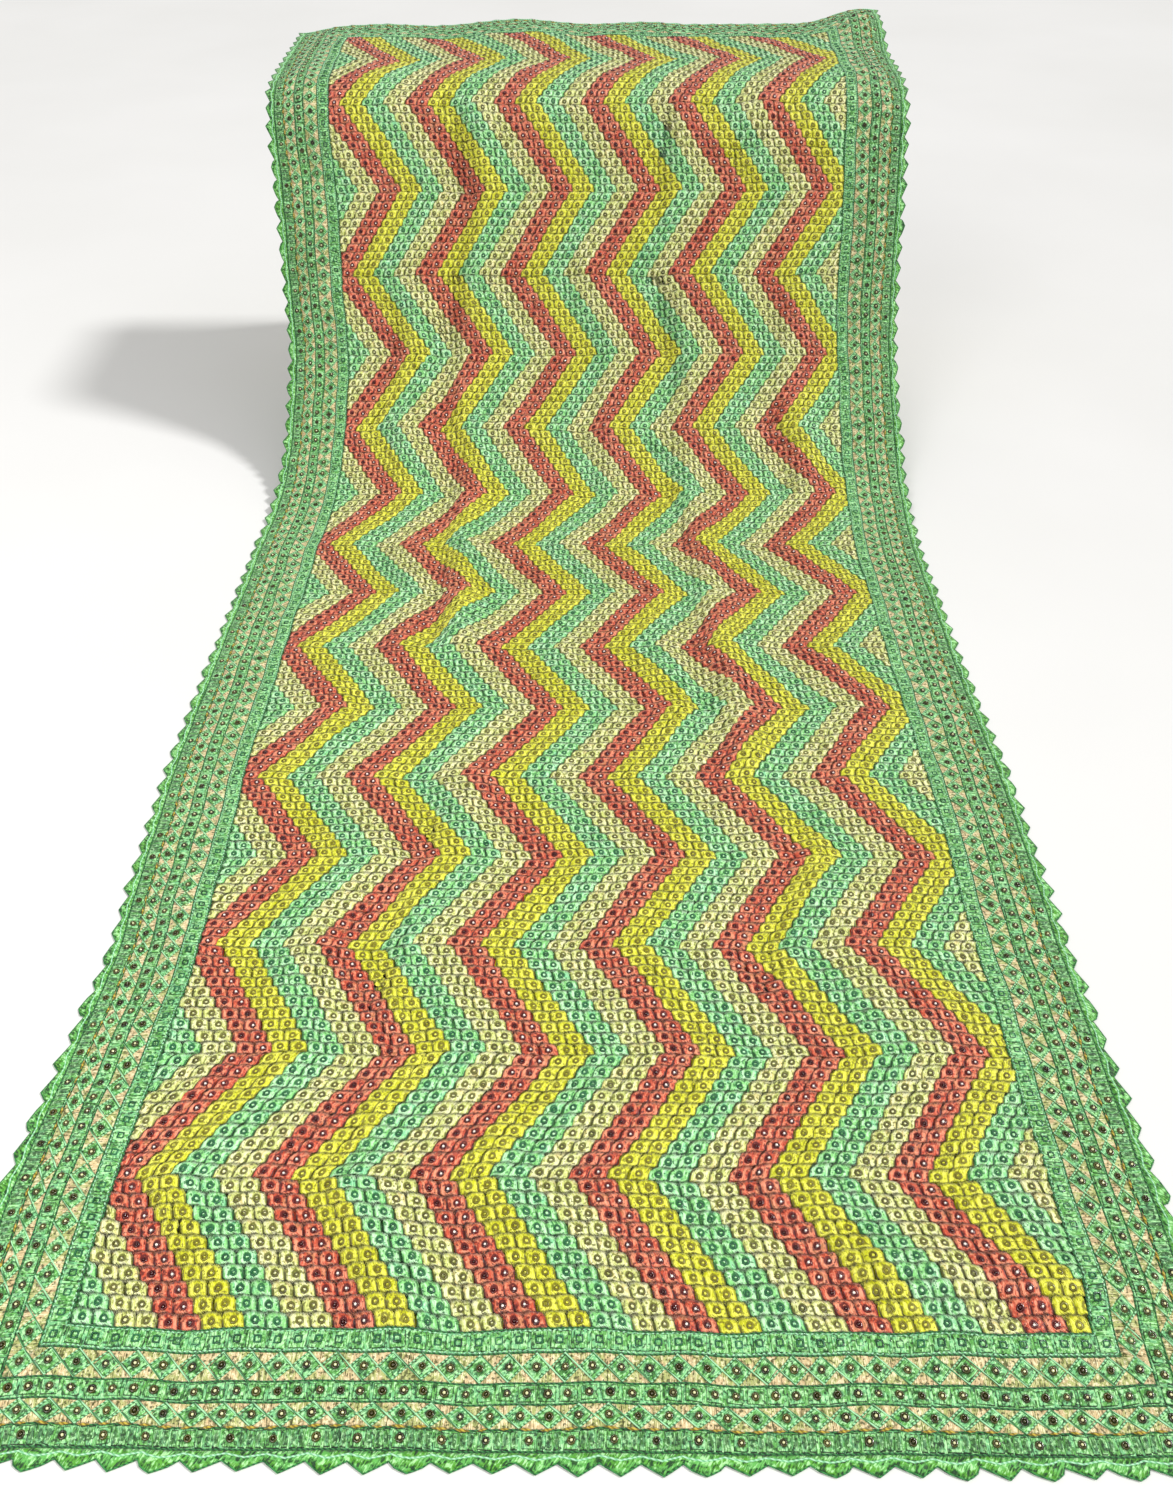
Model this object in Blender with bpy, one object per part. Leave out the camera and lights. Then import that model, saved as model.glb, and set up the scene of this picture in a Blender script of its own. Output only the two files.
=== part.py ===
"""A phulkari shawl draped over a low padded bench and running down onto the floor.

The shawl is one embroidered field panel, four mitred border strips and four pointed edging
strips. Every cloth piece is a closed wall worked out from two flat cloth coordinates:
"across" (metres from the centre line) and "along" (metres from the near edge). The drape
function carries both onto the floor, up the free sweep and over the rounded bench.
"""

from collections import namedtuple

import bmesh
import bpy
import numpy as np

# Cloth: the counted embroidery cells give the size of the field
CELL_WIDTH = 0.0158
ROW_PITCH = 0.01166
CELLS_ACROSS = 47
ROWS_ALONG = 170
BORDER_WIDTH = 0.080
EDGING_BAND = 0.0065
POINT_DEPTH = 0.0085
POINTS_LONG_SIDE = 75
POINTS_SHORT_SIDE = 32
CLOTH_THICKNESS = 0.002
SEAM_GAP = 0.0003
MITRE_SETBACK = 0.00022

# Bench: a padded body with a rolled front on a recessed wooden plinth
BENCH_WIDTH = 0.800
BENCH_END_ROUND = 0.030
BENCH_CLEARANCE = 0.0005
BENCH_BACK_ALONG = 2.105
BENCH_BACK_RADIUS = 0.045
NOSE_POINTS = 14
TOP_POINTS = 6
BACK_POINTS = 8
END_ROUND_POINTS = 6
PLINTH_HEIGHT = 0.060
PLINTH_INSET = 0.035
PLINTH_BEVEL = 0.004
PLINTH_BEVEL_SEGMENTS = 2

# Where the object's base centre lies in cloth path coordinates
CENTRE_X = -0.00104
CENTRE_Y = 0.97975

EDGING_WIDTH = EDGING_BAND + POINT_DEPTH
FIELD_HALF = CELLS_ACROSS * CELL_WIDTH / 2
FIELD_START = BORDER_WIDTH + EDGING_WIDTH
FIELD_END = FIELD_START + ROWS_ALONG * ROW_PITCH
CLOTH_LENGTH = FIELD_END + FIELD_START
CLOTH_HALF = FIELD_HALF + BORDER_WIDTH + EDGING_WIDTH

# Slope of the drape along the cloth, in degrees: flat floor, free sweep, rolled bench edge, top
SWEEP_START = 1.165
NOSE_START = 1.818
NOSE_END = 1.911
NOSE_START_DEGREES = 62.5
NOSE_END_DEGREES = 4.0
UPRIGHT_DEGREES = 90.0
PATH_STEP = 0.001
Slope = namedtuple("Slope", "along degrees")
SLOPES = (
    Slope(0.000, 0.0), Slope(SWEEP_START, 0.0), Slope(1.250, 13.0), Slope(1.370, 34.0),
    Slope(1.490, 49.0), Slope(1.600, 56.5), Slope(1.720, 60.5),
    Slope(NOSE_START, NOSE_START_DEGREES), Slope(NOSE_END, NOSE_END_DEGREES),
    Slope(2.000, 2.5), Slope(2.200, 1.0),
)

# How far each long edge wanders from straight, in metres, positive to the right
Wander = namedtuple("Wander", "along left right")
WANDERS = (
    Wander(0.00, 0.000, 0.008), Wander(0.20, -0.007, 0.010), Wander(0.34, 0.003, 0.007),
    Wander(0.44, 0.008, 0.006), Wander(0.55, 0.001, 0.007), Wander(0.68, -0.005, 0.009),
    Wander(0.80, -0.006, 0.004), Wander(1.00, -0.004, 0.001), Wander(1.14, -0.004, 0.001),
    Wander(1.26, 0.003, 0.004), Wander(1.36, 0.008, 0.005), Wander(1.50, 0.011, -0.001),
    Wander(1.62, 0.003, 0.000), Wander(1.74, -0.002, 0.003), Wander(1.90, -0.011, 0.002),
    Wander(2.20, -0.012, -0.001),
)

# Soft folds: a straight crest from one point of the cloth to another. A positive height is a
# ridge, a negative one is a trough. The relief never sinks below what the cloth rests on.
Fold = namedtuple("Fold", "across_1 along_1 across_2 along_2 half_width height")
FOLDS = (
    # floor, near end
    Fold(0.185, 0.235, 0.280, 0.120, 0.050, 0.0080),
    Fold(0.132, 0.200, 0.205, 0.100, 0.026, -0.0050),
    Fold(0.350, 0.250, 0.360, 0.120, 0.060, 0.0060),
    Fold(0.030, 0.300, 0.060, 0.190, 0.045, 0.0050),
    Fold(-0.070, 0.230, -0.005, 0.110, 0.045, 0.0060),
    Fold(-0.190, 0.290, -0.140, 0.115, 0.036, 0.0075),
    Fold(-0.215, 0.200, -0.172, 0.100, 0.022, -0.0050),
    Fold(-0.325, 0.200, -0.250, 0.290, 0.034, 0.0070),
    Fold(-0.365, 0.210, -0.295, 0.100, 0.026, -0.0050),
    Fold(-0.400, 0.180, -0.385, 0.060, 0.040, 0.0060),
    # floor, middle and far
    Fold(-0.385, 0.480, -0.375, 0.340, 0.036, 0.0065),
    Fold(-0.240, 0.560, -0.270, 0.380, 0.045, 0.0060),
    Fold(-0.200, 0.510, -0.197, 0.235, 0.024, -0.0055),
    Fold(-0.130, 0.520, -0.110, 0.350, 0.050, 0.0060),
    Fold(0.060, 0.560, 0.040, 0.390, 0.050, 0.0055),
    Fold(0.215, 0.580, 0.130, 0.330, 0.026, -0.0050),
    Fold(0.260, 0.520, 0.300, 0.360, 0.055, 0.0065),
    Fold(-0.130, 0.780, -0.150, 0.600, 0.045, 0.0055),
    Fold(-0.178, 0.700, -0.174, 0.570, 0.024, -0.0045),
    Fold(-0.240, 1.100, -0.225, 0.900, 0.038, 0.0060),
    Fold(-0.150, 1.120, -0.150, 0.920, 0.040, 0.0055),
    Fold(0.090, 1.000, 0.110, 0.740, 0.042, 0.0050),
    Fold(0.190, 0.980, 0.190, 0.720, 0.045, 0.0055),
    Fold(0.330, 0.900, 0.300, 0.700, 0.055, 0.0045),
    # free sweep up to the bench
    Fold(-0.207, 1.600, -0.207, 1.380, 0.022, -0.0060),
    Fold(-0.270, 1.640, -0.275, 1.360, 0.050, 0.0080),
    Fold(-0.150, 1.560, -0.140, 1.400, 0.040, 0.0050),
    Fold(-0.204, 1.830, -0.182, 1.730, 0.020, -0.0060),
    Fold(0.100, 1.600, 0.122, 1.300, 0.024, -0.0060),
    Fold(0.110, 1.840, 0.096, 1.750, 0.022, -0.0050),
    Fold(0.190, 1.600, 0.200, 1.400, 0.055, 0.0070),
    Fold(0.020, 1.560, 0.040, 1.380, 0.050, 0.0045),
    Fold(0.225, 1.785, 0.290, 1.835, 0.026, -0.0060),
    Fold(-0.405, 1.700, -0.400, 1.420, 0.030, 0.0070),
    Fold(0.415, 1.720, 0.410, 1.480, 0.030, 0.0060),
    # top of the bench
    Fold(-0.110, 2.170, -0.090, 2.060, 0.085, 0.0100),
    Fold(0.090, 2.170, 0.080, 2.100, 0.060, 0.0050),
    Fold(0.455, 2.180, 0.440, 2.120, 0.062, 0.0300),
    Fold(-0.330, 2.170, -0.320, 2.080, 0.060, 0.0040),
)
REST_LEVEL = 0.0012
OVERHANG_START = 0.385
OVERHANG_DROOP = 0.010
OVERHANG_LEAD = 0.12

# Spacing of the mesh lines along the cloth
FLOOR_STEP = 0.045
SWEEP_STEP = 0.032
NOSE_STEP = 0.0165
FIELD_COLUMNS = 16
BORDER_COLUMNS = 2

# Faces that meet at a sharper angle than this, in degrees, keep a crisp edge
SHARP_ANGLE = 40.0


def smooth_step(value, low, high):
    """0 below low, 1 above high and 3t^2 - 2t^3 between them."""
    t = np.clip((value - low) / (high - low), 0.0, 1.0)
    return t * t * (3.0 - 2.0 * t)


def make_path():
    """Integrate the slope along the cloth: distance, forward place, height and slope angle."""
    along = np.arange(0.0, CLOTH_LENGTH + PATH_STEP / 2, PATH_STEP)
    stations = np.array([row.along for row in SLOPES])
    degrees = np.array([row.degrees for row in SLOPES])
    angle = np.radians(np.interp(along, stations, degrees))
    middle = (angle[1:] + angle[:-1]) / 2
    forward = np.concatenate([[0.0], np.cumsum(np.cos(middle)) * PATH_STEP])
    height = np.concatenate([[0.0], np.cumsum(np.sin(middle)) * PATH_STEP])
    return along, forward, height, angle


PATH_ALONG, PATH_FORWARD, PATH_HEIGHT, PATH_ANGLE = make_path()


def path_at(along):
    """Forward place, height and slope angle of the cloth's underside at a distance along it."""
    return (
        np.interp(along, PATH_ALONG, PATH_FORWARD),
        np.interp(along, PATH_ALONG, PATH_HEIGHT),
        np.interp(along, PATH_ALONG, PATH_ANGLE),
    )


def fold_height(fold, across, along):
    """A crest of Gaussian section whose distance is taken to a straight segment."""
    start = np.array([fold.across_1, fold.along_1])
    run = np.array([fold.across_2, fold.along_2]) - start
    offset_x = across - start[0]
    offset_y = along - start[1]
    t = np.clip((offset_x * run[0] + offset_y * run[1]) / run.dot(run), 0.0, 1.0)
    distance_2 = (offset_x - t * run[0]) ** 2 + (offset_y - t * run[1]) ** 2
    return fold.height * np.exp(-distance_2 / fold.half_width ** 2)


def relief(across, along):
    """All folds together, cut off level where the cloth lies on the floor or the bench."""
    total = sum(fold_height(fold, across, along) for fold in FOLDS)
    return np.maximum(total - REST_LEVEL, 0.0)


def droop(across, along):
    """The free sides sink a little where they hang past the ends of the bench."""
    past_end = smooth_step(np.abs(across), OVERHANG_START, CLOTH_HALF)
    on_bench = smooth_step(along, NOSE_START - OVERHANG_LEAD, NOSE_END)
    return OVERHANG_DROOP * past_end * on_bench


def drape(across, along, lift):
    """Carry flat cloth coordinates, lifted off the underside, to places in the object's frame."""
    forward, height, angle = path_at(along)
    off_path = relief(across, along) + lift
    stations = [row.along for row in WANDERS]
    left = np.interp(along, stations, [row.left for row in WANDERS])
    right = np.interp(along, stations, [row.right for row in WANDERS])
    share = across / (2 * CLOTH_HALF) + 0.5
    x = across + left * (1.0 - share) + right * share
    y = forward - np.sin(angle) * off_path
    z = height + np.cos(angle) * off_path - droop(across, along)
    return np.stack([x - CENTRE_X, y - CENTRE_Y, z], axis=-1)


def make_material(name, colour, roughness, sheen=0.0):
    """One plain finish for a kind of piece."""
    material = bpy.data.materials.new(name)
    material.use_nodes = True
    shader = material.node_tree.nodes["Principled BSDF"]
    shader.inputs["Base Color"].default_value = (*colour, 1.0)
    shader.inputs["Roughness"].default_value = roughness
    shader.inputs["Metallic"].default_value = 0.0
    shader.inputs["Sheen Weight"].default_value = sheen
    material.diffuse_color = (*colour, 1.0)
    return material


def add_object(name, points, faces, material):
    """Make one named object from points and faces, with its faces turned outwards."""
    mesh = bpy.data.meshes.new(name)
    mesh.from_pydata([tuple(p) for p in points], [], faces)
    shape = bmesh.new()
    shape.from_mesh(mesh)
    bmesh.ops.triangulate(shape, faces=shape.faces)
    bmesh.ops.recalc_face_normals(shape, faces=shape.faces)
    shape.to_mesh(mesh)
    shape.free()
    mesh.shade_smooth()
    mesh.set_sharp_from_angle(angle=np.radians(SHARP_ANGLE))
    mesh.materials.append(material)
    thing = bpy.data.objects.new(name, mesh)
    bpy.context.scene.collection.objects.link(thing)
    return thing


def add_cloth(name, under, upper, material):
    """A closed cloth wall between two grids of places: underside, upper side and four edges."""
    rows, columns = under.shape[:2]
    count = rows * columns
    index = np.arange(count).reshape(rows, columns)
    corners = np.stack([index[:-1, :-1], index[1:, :-1], index[1:, 1:], index[:-1, 1:]], axis=-1)
    lower_faces = corners.reshape(-1, 4)
    upper_faces = lower_faces[:, ::-1] + count
    rim = np.concatenate([
        index[0, :-1], index[:-1, -1], index[-1, :0:-1], index[:0:-1, 0],
    ])
    following = np.roll(rim, -1)
    rim_faces = np.stack([rim, following, following + count, rim + count], axis=-1)
    faces = np.concatenate([lower_faces, upper_faces, rim_faces]).tolist()
    points = np.concatenate([under.reshape(-1, 3), upper.reshape(-1, 3)])
    return add_object(name, points, faces, material)


def along_breaks():
    """Mesh lines along the field: wide on the floor, closer up the sweep and round the nose."""
    stretches = (
        (FIELD_START, SWEEP_START, FLOOR_STEP),
        (SWEEP_START, NOSE_START, SWEEP_STEP),
        (NOSE_START, NOSE_END, NOSE_STEP),
        (NOSE_END, FIELD_END, FLOOR_STEP),
    )
    parts = []
    for low, high, step in stretches:
        steps = max(1, int(np.ceil((high - low) / step)))
        parts.append(np.linspace(low, high, steps + 1)[:-1])
    return np.concatenate(parts + [[FIELD_END]])


def add_field(material):
    """The chevron panel, a plain rectangle of cloth."""
    columns = np.linspace(-FIELD_HALF, FIELD_HALF, FIELD_COLUMNS + 1)
    along, across = np.meshgrid(along_breaks(), columns, indexing="ij")
    under = drape(across, along, 0.0)
    upper = drape(across, along, CLOTH_THICKNESS)
    return add_cloth("field_panel", under, upper, material)


def strip_places(side, share_along, out):
    """Flat places on a mitred strip round the field.

    share_along runs from 0 to 1 between the strip's mitres, and out is the distance from the
    field's edge. A strip grows longer by that distance at both ends, less a small setback.
    """
    reach = out - MITRE_SETBACK
    if side in ("left", "right"):
        along = FIELD_START - reach + share_along * (FIELD_END - FIELD_START + 2 * reach)
        across = FIELD_HALF + out
        across = -across if side == "left" else across
        return np.broadcast_arrays(across, along)
    across = -FIELD_HALF - reach + share_along * 2 * (FIELD_HALF + reach)
    along = FIELD_START - out if side == "near" else FIELD_END + out
    return np.broadcast_arrays(across, along)


def strip_breaks(side):
    """The field's own mesh lines along one of its edges, as shares of that edge."""
    if side in ("left", "right"):
        return (along_breaks() - FIELD_START) / (FIELD_END - FIELD_START)
    return np.linspace(0.0, 1.0, FIELD_COLUMNS + 1)


def drape_strip(side, share, out, lift):
    """Drape a strip so that it runs straight between the field's mesh lines.

    Neighbouring pieces then follow the same straight stretches, and keep their seam gap.
    """
    breaks = strip_breaks(side)
    line = np.clip(np.searchsorted(breaks, share, side="right") - 1, 0, len(breaks) - 2)
    part = ((share - breaks[line]) / (breaks[line + 1] - breaks[line]))[:, None, None]
    before = drape(*strip_places(side, breaks[line][:, None], out), lift)
    after = drape(*strip_places(side, breaks[line + 1][:, None], out), lift)
    return before * (1.0 - part) + after * part


def add_strip(name, side, share, out, material):
    """A strip's wall, from its stations along and its distances out from the field."""
    under = drape_strip(side, share, out, 0.0)
    upper = drape_strip(side, share, out, CLOTH_THICKNESS)
    return add_cloth(name, under, upper, material)


def add_border(side, material):
    """One border strip, mitred at both ends."""
    out = np.linspace(SEAM_GAP, BORDER_WIDTH, BORDER_COLUMNS + 1)[None, :]
    return add_strip("border_" + side, side, strip_breaks(side), out, material)


def add_edging(side, material):
    """One edging strip, whose outer line steps between points and the notches between them."""
    points = POINTS_LONG_SIDE if side in ("left", "right") else POINTS_SHORT_SIDE
    stations = np.arange(2 * points + 1)
    tip = (stations % 2 == 0).astype(float)
    inner = np.full(tip.shape, BORDER_WIDTH + SEAM_GAP)
    outer = BORDER_WIDTH + EDGING_BAND + tip * POINT_DEPTH
    out = np.stack([inner, outer], axis=1)
    return add_strip("edging_" + side, side, stations / (2 * points), out, material)


def bench_outline():
    """Side outline of the padded body as points and outward directions, front foot to back foot."""
    upright = np.radians(UPRIGHT_DEGREES)
    first_y, first_z, first_angle = path_at(NOSE_START)
    nose_turn = np.radians(NOSE_START_DEGREES - NOSE_END_DEGREES)
    nose_radius = (NOSE_END - NOSE_START) / nose_turn
    centre_y = first_y + nose_radius * np.sin(first_angle)
    centre_z = first_z - nose_radius * np.cos(first_angle)
    nose = np.linspace(upright, np.radians(NOSE_END_DEGREES), NOSE_POINTS)
    nose_pad = nose_radius - BENCH_CLEARANCE
    nose_points = np.stack(
        [centre_y - nose_pad * np.sin(nose), centre_z + nose_pad * np.cos(nose)], axis=1
    )
    top_along = np.linspace(NOSE_END, BENCH_BACK_ALONG, TOP_POINTS)[1:]
    top_y, top_z, top_angle = path_at(top_along)
    top_points = np.stack([
        top_y + BENCH_CLEARANCE * np.sin(top_angle),
        top_z - BENCH_CLEARANCE * np.cos(top_angle),
    ], axis=1)
    back = np.linspace(top_angle[-1], -upright, BACK_POINTS)[1:]
    back_y = top_points[-1, 0] + BENCH_BACK_RADIUS * np.sin(top_angle[-1])
    back_z = top_points[-1, 1] - BENCH_BACK_RADIUS * np.cos(top_angle[-1])
    back_points = np.stack(
        [back_y - BENCH_BACK_RADIUS * np.sin(back), back_z + BENCH_BACK_RADIUS * np.cos(back)],
        axis=1,
    )
    foot = PLINTH_HEIGHT + SEAM_GAP
    points = np.concatenate([
        [[nose_points[0, 0], foot]], nose_points, top_points, back_points,
        [[back_points[-1, 0], foot]],
    ])
    angles = np.concatenate([[upright], nose, top_angle, back, [-upright]])
    outward = np.stack([-np.sin(angles), np.cos(angles)], axis=1)
    return points, outward


def add_bench_pad(material):
    """The padded body: its side outline carried across, drawn in on a quarter round at each end."""
    outline, outward = bench_outline()
    quarter = np.radians(np.linspace(0.0, UPRIGHT_DEGREES, END_ROUND_POINTS))
    inset = BENCH_END_ROUND * (1.0 - np.cos(quarter))
    reach = BENCH_WIDTH / 2 - BENCH_END_ROUND * (1.0 - np.sin(quarter))
    reach_all = np.concatenate([-reach[::-1], reach])
    inset_all = np.concatenate([inset[::-1], inset])
    rings = []
    for x, drawn_in in zip(reach_all, inset_all):
        ring = outline - outward * drawn_in
        ring[:, 1] = np.maximum(ring[:, 1], outline[0, 1])
        rings.append(np.column_stack([np.full(len(ring), x), ring]))
    points = np.concatenate(rings) - np.array([CENTRE_X, CENTRE_Y, 0.0])
    size = len(outline)
    faces = []
    for ring in range(len(rings) - 1):
        for step in range(size):
            a = ring * size + step
            b = ring * size + (step + 1) % size
            faces.append((a, b, b + size, a + size))
    faces.append(tuple(range(size)))
    faces.append(tuple(range((len(rings) - 1) * size, len(rings) * size)))
    return add_object("bench_pad", points, faces, material)


def add_plinth(material):
    """A plain wooden box under the padded body, set in all round, with softened edges."""
    outline, _ = bench_outline()
    front = outline[:, 0].min() + PLINTH_INSET - CENTRE_Y
    back = outline[:, 0].max() - PLINTH_INSET - CENTRE_Y
    shape = bmesh.new()
    bmesh.ops.create_cube(shape, size=1.0)
    for corner in shape.verts:
        corner.co.x = corner.co.x * (BENCH_WIDTH - 2 * PLINTH_INSET) - CENTRE_X
        corner.co.y = (front + back) / 2 + corner.co.y * (back - front)
        corner.co.z = (corner.co.z + 0.5) * PLINTH_HEIGHT
    bmesh.ops.recalc_face_normals(shape, faces=shape.faces)
    mesh = bpy.data.meshes.new("bench_plinth")
    shape.to_mesh(mesh)
    shape.free()
    mesh.materials.append(material)
    plinth = bpy.data.objects.new("bench_plinth", mesh)
    bpy.context.scene.collection.objects.link(plinth)
    bevel = plinth.modifiers.new("soft edges", "BEVEL")
    bevel.width = PLINTH_BEVEL
    bevel.segments = PLINTH_BEVEL_SEGMENTS
    return plinth


def build():
    """Clear the scene and make every piece."""
    for old in list(bpy.context.scene.objects):
        bpy.data.objects.remove(old, do_unlink=True)
    field_cloth = make_material("field_cloth", (0.62, 0.66, 0.34), 0.55, 0.3)
    border_cloth = make_material("border_cloth", (0.36, 0.66, 0.36), 0.55, 0.3)
    edging_cloth = make_material("edging_cloth", (0.10, 0.42, 0.16), 0.60, 0.3)
    bench_cover = make_material("bench_cover", (0.72, 0.70, 0.66), 0.85, 0.2)
    plinth_wood = make_material("plinth_wood", (0.36, 0.24, 0.15), 0.50)
    add_field(field_cloth)
    for side in ("left", "right", "near", "far"):
        add_border(side, border_cloth)
        add_edging(side, edging_cloth)
    add_bench_pad(bench_cover)
    add_plinth(plinth_wood)


build()
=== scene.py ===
# %% [markdown]
# # A phulkari shawl draped over a low bench
# A phulkari shawl is a long cloth whose ground is almost hidden by satin stitch. This one has a
# chevron field in four colours, a border of five embroidered bands on every side, and an edging
# cut into points. It hangs from a low padded bench and runs out over the floor.
# The whole lesson rests on one idea: every stitch, bead and thread is laid out on the flat
# cloth first, and one function then carries flat places onto the draped shape.

from collections import namedtuple

import bpy
import numpy as np
from mathutils import Matrix, Vector


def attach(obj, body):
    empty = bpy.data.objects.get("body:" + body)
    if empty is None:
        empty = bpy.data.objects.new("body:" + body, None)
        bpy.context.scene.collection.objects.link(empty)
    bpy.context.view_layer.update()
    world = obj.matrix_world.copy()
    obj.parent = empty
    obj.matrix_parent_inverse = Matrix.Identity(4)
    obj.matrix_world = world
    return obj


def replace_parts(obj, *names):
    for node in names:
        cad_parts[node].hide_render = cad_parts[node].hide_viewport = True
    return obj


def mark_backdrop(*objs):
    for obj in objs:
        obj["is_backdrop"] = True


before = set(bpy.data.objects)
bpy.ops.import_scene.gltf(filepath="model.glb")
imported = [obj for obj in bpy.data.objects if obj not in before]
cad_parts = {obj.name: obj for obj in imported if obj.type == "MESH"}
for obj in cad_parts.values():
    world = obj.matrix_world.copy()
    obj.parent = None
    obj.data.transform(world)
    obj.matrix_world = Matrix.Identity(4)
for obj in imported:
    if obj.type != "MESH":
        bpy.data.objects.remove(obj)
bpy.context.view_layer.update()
print("solids in the frame:", len(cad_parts))

# %% [markdown]
# ## The flat cloth
# Embroiderers count. The field is 47 cells wide and 170 rows long, so its size follows from the
# size of one cell. Flat cloth coordinates are "across", in metres from the centre line, and
# "along", in metres from the near edge. The third number, "lift", is the height of a thread
# above the underside of the cloth.

# %% Sizes of the flat cloth
CELL_WIDTH = 0.0158
ROW_PITCH = 0.01166
CELLS_ACROSS = 47
ROWS_ALONG = 170
BORDER_WIDTH = 0.080
EDGING_BAND = 0.0065
POINT_DEPTH = 0.0085
POINTS_LONG_SIDE = 75
POINTS_SHORT_SIDE = 32
CLOTH_THICKNESS = 0.0018
SEAM_GAP = 0.0003
CENTRE_X = -0.00104
CENTRE_Y = 0.97975

EDGING_WIDTH = EDGING_BAND + POINT_DEPTH
FIELD_HALF = CELLS_ACROSS * CELL_WIDTH / 2
FIELD_START = BORDER_WIDTH + EDGING_WIDTH
FIELD_END = FIELD_START + ROWS_ALONG * ROW_PITCH
FIELD_MIDDLE = (FIELD_START + FIELD_END) / 2
CLOTH_LENGTH = FIELD_END + FIELD_START
CLOTH_HALF = FIELD_HALF + BORDER_WIDTH + EDGING_WIDTH
print("flat cloth, metres:", round(2 * CLOTH_HALF, 4), "by", round(CLOTH_LENGTH, 4))

# %% [markdown]
# ## The drape
# Cloth simulation could drop the shawl on the bench, but the real one was laid out by hand, and
# its folds are known one by one. So the drape is written down: a table of slopes is summed into
# a path from the floor up the free sweep and round the rolled bench edge, and each fold is a
# soft crest or trough along a straight line. The same numbers shape the solids in the frame.

# %% The path of the cloth from floor to bench top
Slope = namedtuple("Slope", "along degrees")
SLOPES = (
    Slope(0.000, 0.0), Slope(1.165, 0.0), Slope(1.250, 13.0), Slope(1.370, 34.0),
    Slope(1.490, 49.0), Slope(1.600, 56.5), Slope(1.720, 60.5), Slope(1.818, 62.5),
    Slope(1.911, 4.0), Slope(2.000, 2.5), Slope(2.200, 1.0),
)
SWEEP_START = 1.165
NOSE_START = 1.818
NOSE_END = 1.911
PATH_STEP = 0.001


def make_path():
    """Sum the slope along the cloth: each millimetre adds its cosine forward and its sine up."""
    along = np.arange(0.0, CLOTH_LENGTH + PATH_STEP / 2, PATH_STEP)
    stations = np.array([row.along for row in SLOPES])
    degrees = np.array([row.degrees for row in SLOPES])
    angle = np.radians(np.interp(along, stations, degrees))
    middle = (angle[1:] + angle[:-1]) / 2
    forward = np.concatenate([[0.0], np.cumsum(np.cos(middle)) * PATH_STEP])
    height = np.concatenate([[0.0], np.cumsum(np.sin(middle)) * PATH_STEP])
    return along, forward, height, angle


PATH_ALONG, PATH_FORWARD, PATH_HEIGHT, PATH_ANGLE = make_path()


def path_at(along):
    """Forward place, height and slope angle of the cloth's underside at a distance along it."""
    return (
        np.interp(along, PATH_ALONG, PATH_FORWARD),
        np.interp(along, PATH_ALONG, PATH_HEIGHT),
        np.interp(along, PATH_ALONG, PATH_ANGLE),
    )


def smooth_step(value, low, high):
    """0 below low, 1 above high and 3t^2 - 2t^3 between them."""
    t = np.clip((value - low) / (high - low), 0.0, 1.0)
    return t * t * (3.0 - 2.0 * t)


print("bench top, metres:", round(float(path_at(NOSE_END)[1]), 3))

# %% Wandering long edges and broad folds
Wander = namedtuple("Wander", "along left right")
WANDERS = (
    Wander(0.00, 0.000, 0.008), Wander(0.20, -0.007, 0.010), Wander(0.34, 0.003, 0.007),
    Wander(0.44, 0.008, 0.006), Wander(0.55, 0.001, 0.007), Wander(0.68, -0.005, 0.009),
    Wander(0.80, -0.006, 0.004), Wander(1.00, -0.004, 0.001), Wander(1.14, -0.004, 0.001),
    Wander(1.26, 0.003, 0.004), Wander(1.36, 0.008, 0.005), Wander(1.50, 0.011, -0.001),
    Wander(1.62, 0.003, 0.000), Wander(1.74, -0.002, 0.003), Wander(1.90, -0.011, 0.002),
    Wander(2.20, -0.012, -0.001),
)

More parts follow.
